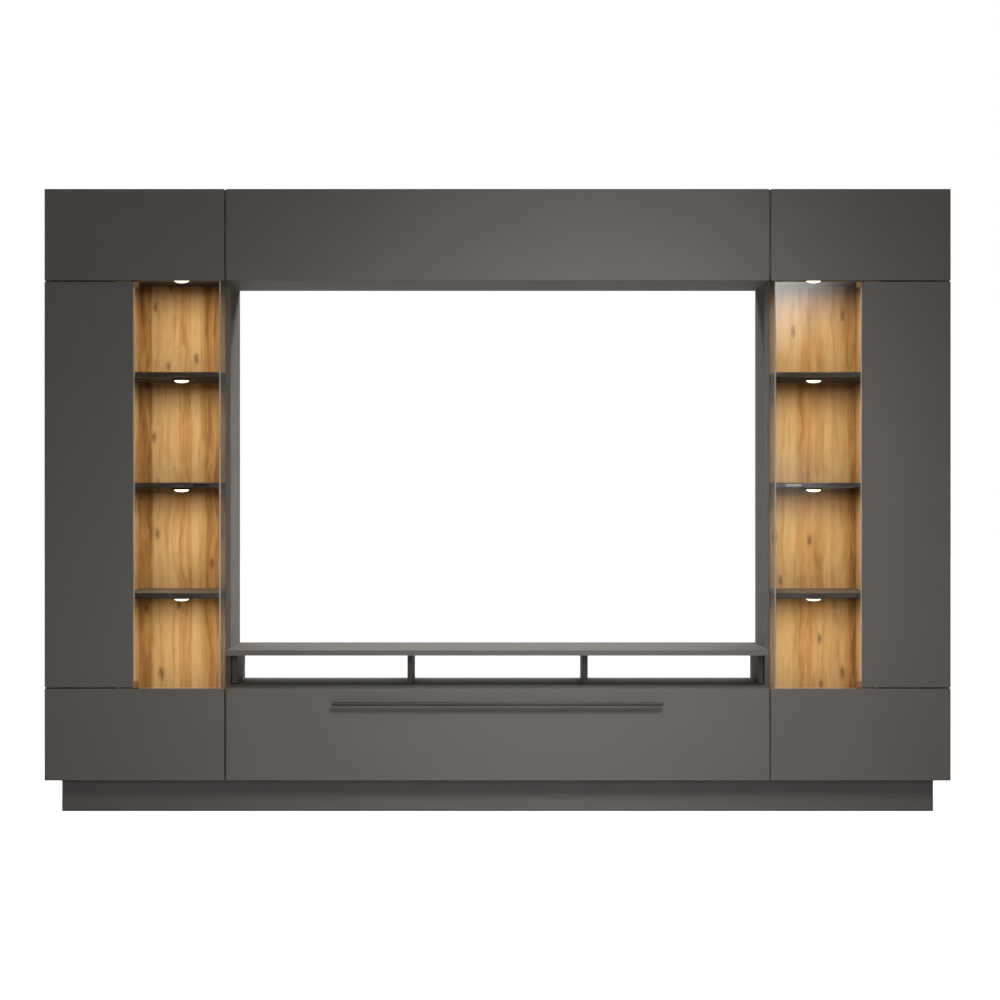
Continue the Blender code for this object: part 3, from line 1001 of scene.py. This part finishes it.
@dataclass
class HingeSet:
    """All cup hinges, placed by the same rules as the solids."""

    sizes: UnitSizes
    rows: list[HingeRow] = field(default_factory=list)
    end_inset: float = 120 * MM
    middle_share: float = 0.6
    plate_top: float = 6 * MM
    plate_back: float = 72 * MM
    plate_half: float = 14 * MM
    arm_top: float = 14 * MM
    arm_screws: tuple[float, ...] = (22 * MM, 34 * MM, 52 * MM)
    wing_head: HeadSizes = HeadSizes(3.2 * MM, 1.1 * MM)
    plate_head: HeadSizes = HeadSizes(3.4 * MM, 1.2 * MM)

    def __post_init__(self) -> None:
        """Works out where each hinge is from the boards' boxes."""
        for side in Side:
            self.add_tower(side)
        self.add_flap("overhead_flap", "overhead_box", self.sizes.top, Facing.DOWN)
        self.add_flap("base_flap", "base_box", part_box("base_flap")[0].z, Facing.UP)

    def add_tower(self, side: Side) -> None:
        """Adds the rows of a tower's three solid doors.

        Args:
            side: The tower.
        """
        decks = side.boxes(DECKS)
        shelves = side.boxes(SHELVES)
        tops = [decks[1][1].z] + [high.z for _, high in shelves]
        undersides = [low.z for low, _ in shelves] + [decks[2][0].z]
        rooms = {
            "tall_door": [(low + high) / 2 for low, high in zip(tops, undersides)],
            "upper_door": self.quarters(decks[2][1].z, decks[3][0].z),
            "lower_door": self.quarters(decks[0][1].z, decks[1][0].z),
        }
        inward, up = Vector((-side.value, 0, 0)), Vector((0, 0, 1))
        for door, heights in rooms.items():
            edges = [Vector((side.value * self.sizes.half_width, self.sizes.front_y, z)) for z in heights]
            hinges = [CupHinge(edge, inward, up) for edge in edges]
            row = HingeRow(f"{side.word}_{door}", f"{side.word}_outer_side", hinges, side.inward)
            self.rows.append(row)

    @staticmethod
    def quarters(low: float, high: float) -> list[float]:
        """The two hinge heights in a small cupboard: a quarter from each end."""
        return [low + (high - low) / 4, low + (high - low) * 3 / 4]

    def add_flap(self, front: str, carrier: str, edge_z: float, facing: Facing) -> None:
        """Adds a flap's row: two hinges near the ends and two beside the middle.

        Args:
            front: The flap.
            carrier: The box that it hangs on.
            edge_z: The height of its turning edge.
            facing: The way from that edge into the flap, and the way that the plates look.
        """
        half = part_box(carrier)[1].x - self.sizes.board
        end = half - self.end_inset
        middle = (2 * half - 2 * self.sizes.board) / 3 / 2 * self.middle_share
        hinges = [
            CupHinge(Vector((x, self.sizes.front_y, edge_z)), Vector(facing.value), Vector((1, 0, 0)))
            for x in (-end, -middle, middle, end)
        ]
        self.rows.append(HingeRow(front, carrier, hinges, facing))

    def on_front(self, front: str, point: Vector) -> bool:
        """Whether a point of this front belongs to one of its cups."""
        hinges = [hinge for row in self.rows if row.front == front for hinge in row.hinges]
        return any(hinge.holds(point, self.sizes.front_board) for hinge in hinges)

    def build(self, heads: RoundHeads, finishes: Finishes) -> None:
        """Makes the cups' wings with their screws, and the screws of the plates and arms.

        Args:
            heads: The maker of screw heads.
            finishes: The unit's finishes.
        """
        sizes, nickel = self.sizes, finishes.nickel
        carcass_back = sizes.carcass_y - sizes.front_y
        for row in self.rows:
            maker = MeshMaker()
            for hinge in row.hinges:
                hinge.add_wing(maker, sizes.front_board)
            ride(maker.finish(f"{row.front}_hinge_wings", [nickel]), row.front, row.front)
            pairs = [(hinge, sign) for hinge in row.hinges for sign in (-1, 1)]
            wing_back = sizes.front_board + CupHinge.wing_thickness
            places = [
                hinge.at(hinge.wing_distance, wing_back, sign * hinge.wing_screw) for hinge, sign in pairs
            ]
            screws = heads.grow(f"{row.front}_wing_screws", places, Facing.BACK, self.wing_head, nickel)
            ride(screws, row.front, row.front)
            plate_top, arm_top = sizes.board + self.plate_top, sizes.board + self.arm_top
            places = [
                hinge.at(plate_top, carcass_back + self.plate_back, sign * self.plate_half)
                for hinge, sign in pairs
            ]
            places += [
                hinge.at(arm_top, carcass_back + back) for hinge in row.hinges for back in self.arm_screws
            ]
            screws = heads.grow(f"{row.front}_plate_screws", places, row.facing, self.plate_head, nickel)
            ride(screws, "carcass", row.carrier)


@dataclass
class SpotLight:
    """A surface spot: a moulded ring, a shadow groove and a lit opal dome."""

    node: str
    seat_gap: float = 0.3 * MM
    ring_radius: float = 34.0 * MM
    ring_height: float = 6.0 * MM
    round_over: float = 1.4 * MM
    round_steps: int = 4
    groove: float = 0.8 * MM
    lens_radius: float = 25.0 * MM
    lens_height: float = 8.0 * MM
    lens_steps: int = 8
    sides: int = 64
    lamp_gap: float = 0.5 * MM
    power: float = 3.0
    spread: float = 180.0
    warmth: str = "#FFEACB"

    def profile(self) -> list[tuple[float, float, int]]:
        """Draws the turned outline.

        Returns:
            The outline from the ceiling down, with the dome in finish 1.
        """
        points = [(0.0, self.seat_gap, 0), (self.ring_radius, self.seat_gap, 0)]
        for step in range(self.round_steps + 1):
            angle = math.pi / 2 * step / self.round_steps
            radius = self.ring_radius - self.round_over * (1 - math.cos(angle))
            drop = self.ring_height - self.round_over * (1 - math.sin(angle))
            points.append((radius, drop, 0))
        inner = self.lens_radius + self.groove
        points += [(inner, self.ring_height, 0), (inner, self.ring_height - self.groove, 0)]
        points.append((self.lens_radius, self.ring_height - self.groove, 1))
        for step in range(self.lens_steps + 1):
            angle = math.pi / 2 * step / self.lens_steps
            radius = self.lens_radius * math.cos(angle) if step < self.lens_steps else 0.0
            points.append((radius, self.ring_height + self.lens_height * math.sin(angle), 1))
        return points

    def build(self, finishes: Finishes) -> None:
        """Makes the spot in the place of its solid, and its lamp.

        Args:
            finishes: The unit's finishes.
        """
        low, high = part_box(self.node)
        centre = ((low.x + high.x) / 2, (low.y + high.y) / 2, high.z + self.seat_gap)
        maker = MeshMaker().turned(centre, Facing.DOWN.value, self.profile(), self.sides)
        piece = maker.finish(self.node + "_fitting", [finishes.housing, finishes.diffuser])
        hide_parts(self.node)
        ride(piece, "carcass", self.node)
        lamp = bpy.data.lights.new(self.node + "_lamp", "AREA")
        lamp.shape = "DISK"
        lamp.size = 2 * self.lens_radius
        lamp.energy = self.power
        lamp.spread = math.radians(self.spread)
        lamp.color = linear(self.warmth)[:3]
        holder = put(self.node + "_lamp", lamp)
        holder.location = (centre[0], centre[1], low.z - self.lamp_gap)
        holder.visible_camera = False
        holder.visible_glossy = False
        holder.visible_transmission = False


@dataclass
class Carcass:
    """The boards of the towers and the centre, with the screws that hold their backs."""

    nodes: dict[str, Object]
    sizes: UnitSizes
    hinges: HingeSet
    hinge_half: float = 21 * MM
    hinge_proud: float = 15 * MM
    hinge_depth: float = 90 * MM
    lining_edge: float = 0.5 * MM
    pin_setbacks: tuple[float, float] = (55 * MM, 45 * MM)
    pin_drop: float = 2.5 * MM
    hole_pitch: float = 32 * MM
    first_hole: float = 48 * MM
    last_hole: float = 30 * MM
    plate_half: float = 24 * MM
    shelf_below: float = 9 * MM
    shelf_above: float = 3 * MM
    deck_screw_inset: float = 30 * MM
    post_screw_inset: float = 90 * MM
    box_screw_inset: float = 40 * MM
    box_side_inset: float = 60 * MM
    deck_screws: int = 5
    post_screws: int = 7
    box_screws: int = 9
    pin: HeadSizes = HeadSizes(2.5 * MM, 9 * MM, crossed=False, top_share=0.92, sides=16)
    hole_cap: HeadSizes = HeadSizes(2.6 * MM, 0.25 * MM, crossed=False, top_share=0.85, sides=14)
    back_screw: HeadSizes = HeadSizes(4 * MM, 1.7 * MM)

    def build(self, heads: RoundHeads, finishes: Finishes) -> None:
        """Dresses every board and adds the back screws and the store's fittings.

        Args:
            heads: The maker of screw heads, pins and caps.
            finishes: The unit's finishes.
        """
        for name in ("overhead_back", "base_back", "base_top", "bridge"):
            dress(self.nodes[name], [finishes.laminate])
        dress(self.nodes["plinth"], [finishes.plinth])
        for name, inward in (("overhead_box", -1), ("base_box", 1)):
            coats = [finishes.laminate, finishes.nickel]
            dress(self.nodes[name], coats, self.on_flap_box(name, inward))
        for side in Side:
            self.dress_tower(side, finishes)
            self.add_store_fittings(side, heads, finishes)
        screws = heads.grow(
            "back_screws", self.back_screw_places(), Facing.BACK, self.back_screw, finishes.nickel
        )
        ride(screws, "carcass")

    def on_flap_box(self, name: str, inward: int) -> Chooser:
        """The rule that tells a centre cupboard's hinge arms from its boards.

        Args:
            name: The cupboard's box.
            inward: -1 where its hinges hang from its top, 1 where they stand on its floor.

        Returns:
            The rule, as dress takes it.
        """
        low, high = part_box(name)
        face = high.z - self.sizes.board if inward < 0 else low.z + self.sizes.board
        end = self.sizes.carcass_y + self.hinge_depth
        places = [h.edge.x for row in self.hinges.rows if row.carrier == name for h in row.hinges]

        def choose(centre: Vector, _: Vector) -> int:
            """Gives 1 on a hinge's plate or arm, and 0 on a board."""
            near = any(abs(centre.x - x) < self.hinge_half for x in places)
            return int(near and SKIN < (centre.z - face) * inward < self.hinge_proud and centre.y < end)

        return choose

    def dress_tower(self, side: Side, finishes: Finishes) -> None:
        """Dresses the boards of one tower.

        Args:
            side: The tower.
            finishes: The unit's finishes.
        """
        lined = side.boxes(["niche_back"])[0][1 if side is Side.RIGHT else 0].x * side.value
        store = lined + self.sizes.board + self.lining_edge
        face = self.sizes.outer_face - SKIN
        front = self.sizes.carcass_y - SKIN
        laminate, nickel, shelf = finishes.laminate, finishes.nickel, finishes.shelf
        rules: dict[str, tuple[list[Material], Chooser | None]] = {
            board: ([laminate], None) for board in ("inner_side", "floor", "top", "back")
        }
        # The shelves' front faces take the lighter copy, painted light; the rest of each shelf takes the
        # darker laminate, painted shade.
        for board in SHELVES:
            rules[board] = ([shelf, finishes.edge_band], lambda _, normal: int(normal.y < -SQUARE_ON))
        rules["niche_back"] = ([finishes.oak], None)
        rules["partition"] = ([finishes.oak, laminate], lambda centre, _: int(abs(centre.x) > store))
        rules["outer_side"] = ([laminate, nickel], lambda centre, _: int(abs(centre.x) < face))
        # The decks' undersides take the darker laminate: painted shade under them.
        for board in ("lower_deck", "upper_deck"):
            rules[board] = (
                [laminate, finishes.housing, shelf],
                lambda centre, normal: 1 if centre.y < front else 2 * int(normal.z < -SQUARE_ON),
            )
        for board, (coats, choose) in rules.items():
            dress(self.nodes[f"{side.word}_{board}"], coats, choose)

    def add_store_fittings(self, side: Side, heads: RoundHeads, finishes: Finishes) -> None:
        """Adds the shelf pins and the caps of the system holes in the tall store.

        Args:
            side: The tower.
            heads: The maker of pins and caps.
            finishes: The unit's finishes.
        """
        face = side.value * self.sizes.outer_face
        shelves = side.boxes(SHELVES)
        front, back = self.sizes.carcass_y + self.pin_setbacks[0], self.sizes.back_y - self.pin_setbacks[1]
        places = [(face, y, low.z - self.pin_drop) for low, _ in shelves for y in (front, back)]
        pins = heads.grow(f"{side.word}_shelf_pins", places, side.inward, self.pin, finishes.nickel)
        ride(pins, "carcass")
        _, lower, upper, _ = side.boxes(DECKS)
        floor, ceiling = lower[1].z, upper[0].z
        door = f"{side.word}_tall_door"
        plates = [h.edge.z for row in self.hinges.rows if row.front == door for h in row.hinges]
        places = []
        for step in range(int((ceiling - floor) / self.hole_pitch)):
            z = floor + self.first_hole + step * self.hole_pitch
            if z > ceiling - self.last_hole:
                continue
            if any(low.z - self.shelf_below < z < high.z + self.shelf_above for low, high in shelves):
                continue
            places.append((face, back, z))
            if not any(abs(z - plate) < self.plate_half for plate in plates):
                places.append((face, front, z))
        caps = heads.grow(
            f"{side.word}_system_hole_caps", places, side.inward, self.hole_cap, finishes.housing
        )
        ride(caps, "carcass")

    def back_screw_places(self) -> list[Point]:
        """Lays out the rows of screws that hold each back to the boards before it.

        Returns:
            One point for each screw.
        """
        places: list[Point] = []

        def row(first: tuple[float, float], last: tuple[float, float], count: int) -> None:
            """Adds a row of screws.

            Args:
                first: The X and Z of the first.
                last: The X and Z of the last.
                count: How many there are.
            """
            for step in range(count):
                share = step / (count - 1)
                x, z = (start + (end - start) * share for start, end in zip(first, last))
                places.append((x, self.sizes.rear_y, z))

        for side in Side:
            low, high = side.boxes(["back"])[0]
            ends = (low.x + self.deck_screw_inset, high.x - self.deck_screw_inset)
            for deck_low, deck_high in side.boxes(DECKS):
                z = (deck_low.z + deck_high.z) / 2
                row((ends[0], z), (ends[1], z), self.deck_screws)
            low, high = side.boxes(["niche_back"])[0]
            post = (high.x if side is Side.RIGHT else low.x) + side.value * self.sizes.board / 2
            bottom, top = low.z + self.post_screw_inset, high.z - self.post_screw_inset
            row((post, bottom), (post, top), self.post_screws)
        for back in ("overhead_back", "base_back"):
            low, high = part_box(back)
            half = self.sizes.board / 2
            ends = (low.x + self.box_screw_inset, high.x - self.box_screw_inset)
            row((ends[0], low.z + half), (ends[1], low.z + half), self.box_screws)
            if back == "overhead_back":
                row((ends[0], high.z - half), (ends[1], high.z - half), self.box_screws)
            for x in (low.x + half, high.x - half):
                row((x, low.z + self.box_side_inset), (x, high.z - self.box_side_inset), 2)
        return places


@dataclass
class Fronts:
    """The matt doors and flaps, with their cups, their soft bumpers and the tall doors' light seals."""

    nodes: dict[str, Object]
    sizes: UnitSizes
    hinges: HingeSet
    seal_setback: float = 7 * MM
    seal_depth: float = 6 * MM
    seal_height: float = 3 * MM
    seal_overlap: float = 4 * MM
    seal_rounding: float = 0.4 * MM
    bumper_inset: float = 7 * MM
    bumper_end: float = 30 * MM
    overhead_bumper_rise: float = 13 * MM
    bumper: HeadSizes = HeadSizes(3.4 * MM, 1.0 * MM, crossed=False, top_share=0.8, sides=20)

    def build(self, heads: RoundHeads, finishes: Finishes) -> None:
        """Dresses each front and sets a bumper in each corner that meets a board.

        Args:
            heads: The maker of bumpers.
            finishes: The unit's finishes.
        """
        for row in self.hinges.rows:
            name = row.front
            dress(
                self.nodes[name],
                [finishes.laminate, finishes.nickel],
                lambda centre, _, name=name: int(self.hinges.on_front(name, centre)),
            )
            places = self.corners(name)
            dots = heads.grow(f"{name}_bumpers", places, Facing.BACK, self.bumper, finishes.silicone)
            ride(dots, name)
            if "tall_door" in name:
                self.add_light_seal(name, finishes)

    def add_light_seal(self, name: str, finishes: Finishes) -> None:
        """Sets a black lip under a tall door, which keeps the niche's light out of the gap below it.

        Args:
            name: The door.
            finishes: The unit's finishes.
        """
        low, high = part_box(name)
        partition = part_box(name.split("_")[0] + "_partition")
        ends = (low.x, partition[0].x + self.seal_overlap)
        if name.startswith("left"):
            ends = (partition[1].x - self.seal_overlap, high.x)
        front = self.sizes.front_y + self.seal_setback
        start = (ends[0], front, low.z - self.seal_height)
        end = (ends[1], front + self.seal_depth, low.z)
        maker = MeshMaker().box(start, end, self.seal_rounding, 2)
        lip = maker.finish(f"{name}_light_seal", [finishes.housing])
        ride(lip, name)

    def corners(self, name: str) -> list[Point]:
        """The bumpers' places on a front's back face, over the board that it closes on.

        Args:
            name: The door or flap.

        Returns:
            One point for each bumper.
        """
        low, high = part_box(name)
        y = self.sizes.front_y + self.sizes.front_board
        if "flap" in name:
            over = name == "overhead_flap"
            z = low.z + self.overhead_bumper_rise if over else high.z - self.bumper_end
            return [(x, y, z) for x in (low.x + self.bumper_inset, high.x - self.bumper_inset)]
        left = name.startswith("left")
        x = high.x - self.bumper_inset if left else low.x + self.bumper_inset
        if "tall_door" in name:
            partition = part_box(name.split("_")[0] + "_partition")
            half = self.sizes.board / 2
            x = partition[1].x - half if left else partition[0].x + half
        return [(x, y, z) for z in (low.z + self.bumper_end, high.z - self.bumper_end)]


@dataclass
class BarHandle:
    """The base flap's bar handle: a black bar with a brushed grey face strip, on four turned posts.

    The black band left below the face strip is painted shadow, the shade under the bar; a thinner
    black band shows above it.
    """

    round_over: float = 1.2 * MM
    face_top: float = 1.6 * MM
    face_bottom: float = 3.4 * MM
    face_proud: float = 0.4 * MM
    cap_length: float = 2.0 * MM
    cap_inset: float = 0.1 * MM
    cap_rounding: float = 0.7 * MM
    post_radius: float = 4.0 * MM
    post_chamfer: float = 0.6 * MM
    post_root: float = 1.0 * MM
    post_inset: float = 45.0 * MM
    post_count: int = 4
    post_sides: int = 32
    bar_depth: float = 9.0 * MM

    def build(self, finishes: Finishes) -> None:
        """Makes the handle in the place of its solid.

        Args:
            finishes: The unit's finishes.
        """
        low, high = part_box("bar_handle")
        back = low.y + self.bar_depth
        start, end = low.x + self.cap_length, high.x - self.cap_length
        maker = MeshMaker()
        maker.box((start, low.y + self.face_proud, low.z), (end, back, high.z), self.round_over, 4, 1)
        # The face strip stops short of the bar's bottom, so a black band shows under it: painted shadow.
        maker.box(
            (start, low.y, low.z + self.face_bottom),
            (end, low.y + 2 * self.face_proud, high.z - self.face_top),
            self.face_proud / 2,
            2,
        )
        inset = self.cap_inset
        for near, far in ((low.x, start), (end, high.x)):
            maker.box(
                (near, low.y + inset, low.z + inset),
                (far, back - inset, high.z - inset),
                self.cap_rounding,
                3,
                1,
            )
        pitch = (high.x - low.x - 2 * self.post_inset) / (self.post_count - 1)
        reach = high.y - back + self.post_root
        profile = [
            (0.0, 0.0, 0),
            (self.post_radius, 0.0, 0),
            (self.post_radius, reach - self.post_chamfer, 0),
            (self.post_radius - self.post_chamfer, reach, 0),
            (0.0, reach, 0),
        ]
        for number in range(self.post_count):
            x = low.x + self.post_inset + pitch * number
            root = (x, back - self.post_root, (low.z + high.z) / 2)
            maker.turned(root, Facing.BACK.value, profile, self.post_sides)
        piece = maker.finish("bar_handle_fitting", [finishes.grey_metal, finishes.housing])
        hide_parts("bar_handle")
        ride(piece, "base_flap", "bar_handle")


@dataclass
class GlassFront:
    """A tower's glass door with its pivot blocks and catch plate, and the latch behind it."""

    side: Side
    nodes: dict[str, Object]
    edge_width: float = 3.5 * MM
    edge_proud: float = 0.6 * MM
    plate_gap: float = 0.15 * MM
    plate_rounding: float = 0.5 * MM
    block_screw_offset: float = 4.6 * MM
    block_screw: HeadSizes = HeadSizes(2.0 * MM, 0.35 * MM, recess=0.7 * MM, top_share=0.85, sides=24)
    tip_shares: tuple[float, float] = (0.72, 0.80)
    tip_chamfer: float = 0.25 * MM
    tip_length: float = 0.9 * MM
    heel_share: float = 0.85
    heel_chamfer: float = 0.5 * MM
    plunger_sides: int = 32

    @property
    def body(self) -> str:
        """The door's body and node."""
        return f"{self.side.word}_glass_door"

    def build(self, heads: RoundHeads, finishes: Finishes) -> None:
        """Dresses the panes and makes the fittings.

        Args:
            heads: The maker of screw heads.
            finishes: The unit's finishes.
        """
        corner = self.nodes[f"{self.side.word}_corner_glass"]
        panes = [finishes.glass, finishes.glass_edge]
        dress(self.nodes[self.body], panes, lambda _, normal: int(abs(normal.y) < SQUARE_ON))
        dress(corner, panes, lambda _, normal: int(abs(normal.x) < SQUARE_ON))
        self.add_ground_edge(finishes)
        self.add_blocks(heads, finishes)
        self.add_catch_plate(finishes)
        self.add_plunger(finishes)

    def add_ground_edge(self, finishes: Finishes) -> None:
        """Makes the ground bead along the pane's outer edge, a pale line over the whole height. The bead
        is the edge's ground facet; its pale tone is painted light, the bright line that light makes
        along the glass edge.

        Args:
            finishes: The unit's finishes.
        """
        low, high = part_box(self.body)
        outer = high.x if self.side is Side.RIGHT else low.x
        near, far = sorted((outer, outer - self.side.value * self.edge_width))
        start, end = (near, low.y - self.edge_proud, low.z), (far, low.y, high.z)
        maker = MeshMaker().box(start, end, self.edge_proud / 3, 2)
        bead = maker.finish(f"{self.body}_ground_edge", [finishes.glass_edge])
        ride(bead, self.body)

    def add_blocks(self, heads: RoundHeads, finishes: Finishes) -> None:
        """Dresses the two pivot blocks and gives each its clamping screw.

        Args:
            heads: The maker of screw heads.
            finishes: The unit's finishes.
        """
        for end in ("lower", "upper"):
            node = f"{self.side.word}_{end}_pivot_block"
            dress(self.nodes[node], [finishes.honey_nylon])
            low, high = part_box(node)
            x = (low.x + high.x) / 2 - self.side.value * self.block_screw_offset
            place = (x, low.y, (low.z + high.z) / 2)
            screw = heads.grow(f"{node}_screw", [place], Facing.FRONT, self.block_screw, finishes.nickel)
            ride(screw, self.body, node)

    def add_catch_plate(self, finishes: Finishes) -> None:
        """Makes the catch plate with rounded ends in the place of its solid.

        Its faces are shaded flat, because a smooth shade over its edges bends its mirror image.

        Args:
            finishes: The unit's finishes.
        """
        node = f"{self.side.word}_catch_plate"
        low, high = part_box(node)
        maker = MeshMaker().box((low.x, low.y + self.plate_gap, low.z), tuple(high), self.plate_rounding)
        plate = maker.finish(node + "_fitting", [finishes.polished])
        for face in plate.data.polygons:
            face.use_smooth = False
        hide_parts(node)
        ride(plate, self.body, node)

    def add_plunger(self, finishes: Finishes) -> None:
        """Makes the push latch's plunger, with its magnet tip.

        Args:
            finishes: The unit's finishes.
        """
        node = f"{self.side.word}_latch_plunger"
        low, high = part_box(node)
        radius = (high.x - low.x) / 2
        length = high.y - low.y
        tip, rim = (radius * share for share in self.tip_shares)
        profile = [
            (0.0, 0.0, 1),
            (tip, 0.0, 1),
            (rim, self.tip_chamfer, 1),
            (rim, self.tip_length, 0),
            (radius, self.tip_length, 0),
            (radius, length - self.heel_chamfer, 0),
            (radius * self.heel_share, length, 0),
            (0.0, length, 0),
        ]
        centre = ((low.x + high.x) / 2, low.y, (low.z + high.z) / 2)
        maker = MeshMaker().turned(centre, Facing.BACK.value, profile, self.plunger_sides)
        piece = maker.finish(node + "_fitting", [finishes.housing, finishes.nickel])
        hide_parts(node)
        ride(piece, node, node)


@dataclass
class Softbox:
    """A square studio lamp, hidden from the camera."""

    name: str
    place: Point
    target: Point
    size: float
    power: float
    spread: float = 180.0
    mirrored: bool = False

    def build(self) -> None:
        """Makes the lamp."""
        lamp = bpy.data.lights.new(self.name, "AREA")
        lamp.spread = math.radians(self.spread)
        lamp.shape = "RECTANGLE"
        lamp.size = self.size
        lamp.size_y = self.size
        lamp.energy = self.power
        holder = put(self.name, lamp)
        holder.location = self.place
        aim = Vector(self.target) - Vector(self.place)
        holder.rotation_euler = aim.to_track_quat("-Z", "Y").to_euler()
        holder.visible_camera = False
        holder.visible_glossy = self.mirrored
        holder.visible_transmission = self.mirrored


@dataclass
class LitCard:
    """A soft white card behind the camera, which only mirrors show."""

    name: str
    centre: Point
    size: float
    glow: float

    def build(self) -> None:
        """Makes the card."""
        x, y, z = self.centre
        half = self.size / 2
        corners = [(x + across * half, y, z + up * half) for across, up in CORNERS]
        card = flat_sheet(self.name, corners, SoftCard(self.name, self.centre, half, self.glow))
        card.visible_camera = False
        card.visible_diffuse = False
        card.visible_shadow = False


@dataclass
class Studio:
    """The camera, the lamps, the white world and the floor."""

    eye: Point = (0.0, -7.4465, 1.089)
    lens: float = 76.3
    sensor: float = 36.0
    shift: tuple[float, float] = (0.0024, -0.0050)
    far_clip: float = 200.0
    ambient: float = 0.08
    back_light: float = 0.20
    dim: float = 0.03
    behind_from: tuple[float, float] = (-0.1, 0.3)
    above_from: tuple[float, float] = (0.20, 0.48)
    floor_lift: float = 0.97
    floor_size: float = 60.0
    lamps: tuple[Softbox, ...] = (
        Softbox("key_softbox", (0.70, -2.5, 3.0), (0.15, -0.2, 0.3), 1.0, 14.0, 64.0, mirrored=True),
        Softbox("front_softbox", (0.0, -7.0, 1.6), (0.0, -0.2, 1.0), 1.6, 146.0),
        Softbox("left_rim_softbox", (-1.7, 1.8, 3.2), (0.93, 0.0, 1.0), 0.8, 15.0, 70.0),
        Softbox("right_rim_softbox", (1.7, 1.8, 3.2), (-0.93, 0.0, 1.0), 0.8, 28.0, 70.0),
    )
    cards: tuple[LitCard, ...] = (
        LitCard("high_card", (1.85, -7.6, 2.65), 1.5, 5.5),
        LitCard("low_card", (2.02, -7.7, 1.16), 1.0, 0.7),
    )

    def build(self) -> None:
        """Makes the whole studio."""
        scene = bpy.context.scene
        scene.view_settings.view_transform = "Standard"
        lens = bpy.data.cameras.new("studio_camera")
        lens.lens = self.lens
        lens.sensor_width = self.sensor
        lens.shift_x, lens.shift_y = self.shift
        lens.clip_end = self.far_clip
        scene.camera = put("studio_camera", lens)
        scene.camera.location = self.eye
        scene.camera.rotation_euler = (math.pi / 2, 0.0, 0.0)
        for lamp in self.lamps:
            lamp.build()
        self.add_world()
        half = self.floor_size / 2
        corners = [(across * half, along * half, 0.0) for across, along in CORNERS]
        flat_sheet("studio_floor", corners, StudioPaper("white_studio_paper", "#D6D6D6", self.floor_lift))
        for card in self.cards:
            card.build()

    def add_world(self) -> None:
        """Makes the world: white where it is seen, plain soft light where it only lights.

        In mirrors it is white behind and above the unit and dim elsewhere, as in a dark studio
        with a lit white sheet hung behind the unit. The plain light is stronger from behind, so
        that the back of the unit shows its colour too.
        """
        world = bpy.data.worlds.new("white_studio")
        bpy.context.scene.world = world
        world.use_nodes = True
        world.node_tree.nodes.clear()
        add = partial(add_node, world.node_tree)
        path = add("ShaderNodeLightPath").outputs
        camera, glossy, clear = (path[f"Is {kind} Ray"] for kind in ("Camera", "Glossy", "Transmission"))
        direction = add("ShaderNodeTexCoord").outputs["Generated"]
        parts = add("ShaderNodeSeparateXYZ", {0: direction}).outputs
        ramps = (
            {0: parts[1], 1: self.behind_from[0], 2: self.behind_from[1]},
            {0: parts[2], 1: self.above_from[0], 2: self.above_from[1], 4: 1.0 - self.dim},
        )
        behind, above = (
            add("ShaderNodeMapRange", ramp, interpolation_type="SMOOTHSTEP") for ramp in ramps
        )
        wall = add("ShaderNodeMath", {0: behind, 1: above, 2: self.dim}, operation="MULTIPLY_ADD")
        lights = {0: behind, 1: self.back_light, 2: self.ambient}
        glow = add("ShaderNodeMath", lights, operation="MULTIPLY_ADD")
        direct = add("ShaderNodeMath", {0: path["Diffuse Depth"], 1: 0.5}, operation="LESS_THAN")
        onward = add("ShaderNodeMath", {0: clear, 1: direct}, operation="MULTIPLY")
        through = add("ShaderNodeMath", {0: onward, 1: behind}, operation="MULTIPLY")
        turned_back = add("ShaderNodeMath", {0: glossy, 1: clear}, operation="MAXIMUM")
        seen = add("ShaderNodeMath", {0: camera, 1: through}, operation="MAXIMUM")
        mirrored = add("ShaderNodeMath", {0: turned_back, 1: direct}, operation="MULTIPLY")
        soft = add("ShaderNodeMix", {0: mirrored, 2: glow, 3: wall}, data_type="FLOAT")
        level = add("ShaderNodeMix", {0: seen, 2: soft, 3: 1.0}, data_type="FLOAT")
        light = add("ShaderNodeBackground", {"Color": WHITE, "Strength": level})
        add("ShaderNodeOutputWorld", {"Surface": light})


def main() -> None:
    """Builds the studio and the unit's sub-assemblies in order."""
    logging.basicConfig(level=logging.INFO, format="%(name)s: %(message)s")
    for spare in list(bpy.data.objects):
        bpy.data.objects.remove(spare)
    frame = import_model()
    Studio().build()
    nodes = frame["nodes"]
    finishes = Finishes()
    heads = RoundHeads()
    sizes = UnitSizes.read()
    hinges = HingeSet(sizes)
    Carcass(nodes, sizes, hinges).build(heads, finishes)
    Fronts(nodes, sizes, hinges).build(heads, finishes)
    hinges.build(heads, finishes)
    BarHandle().build(finishes)
    for side in Side:
        GlassFront(side, nodes).build(heads, finishes)
        for number in (1, 2, 3, 4):
            SpotLight(f"{side.word}_spot_{number}").build(finishes)


if __name__ == "__main__":
    main()
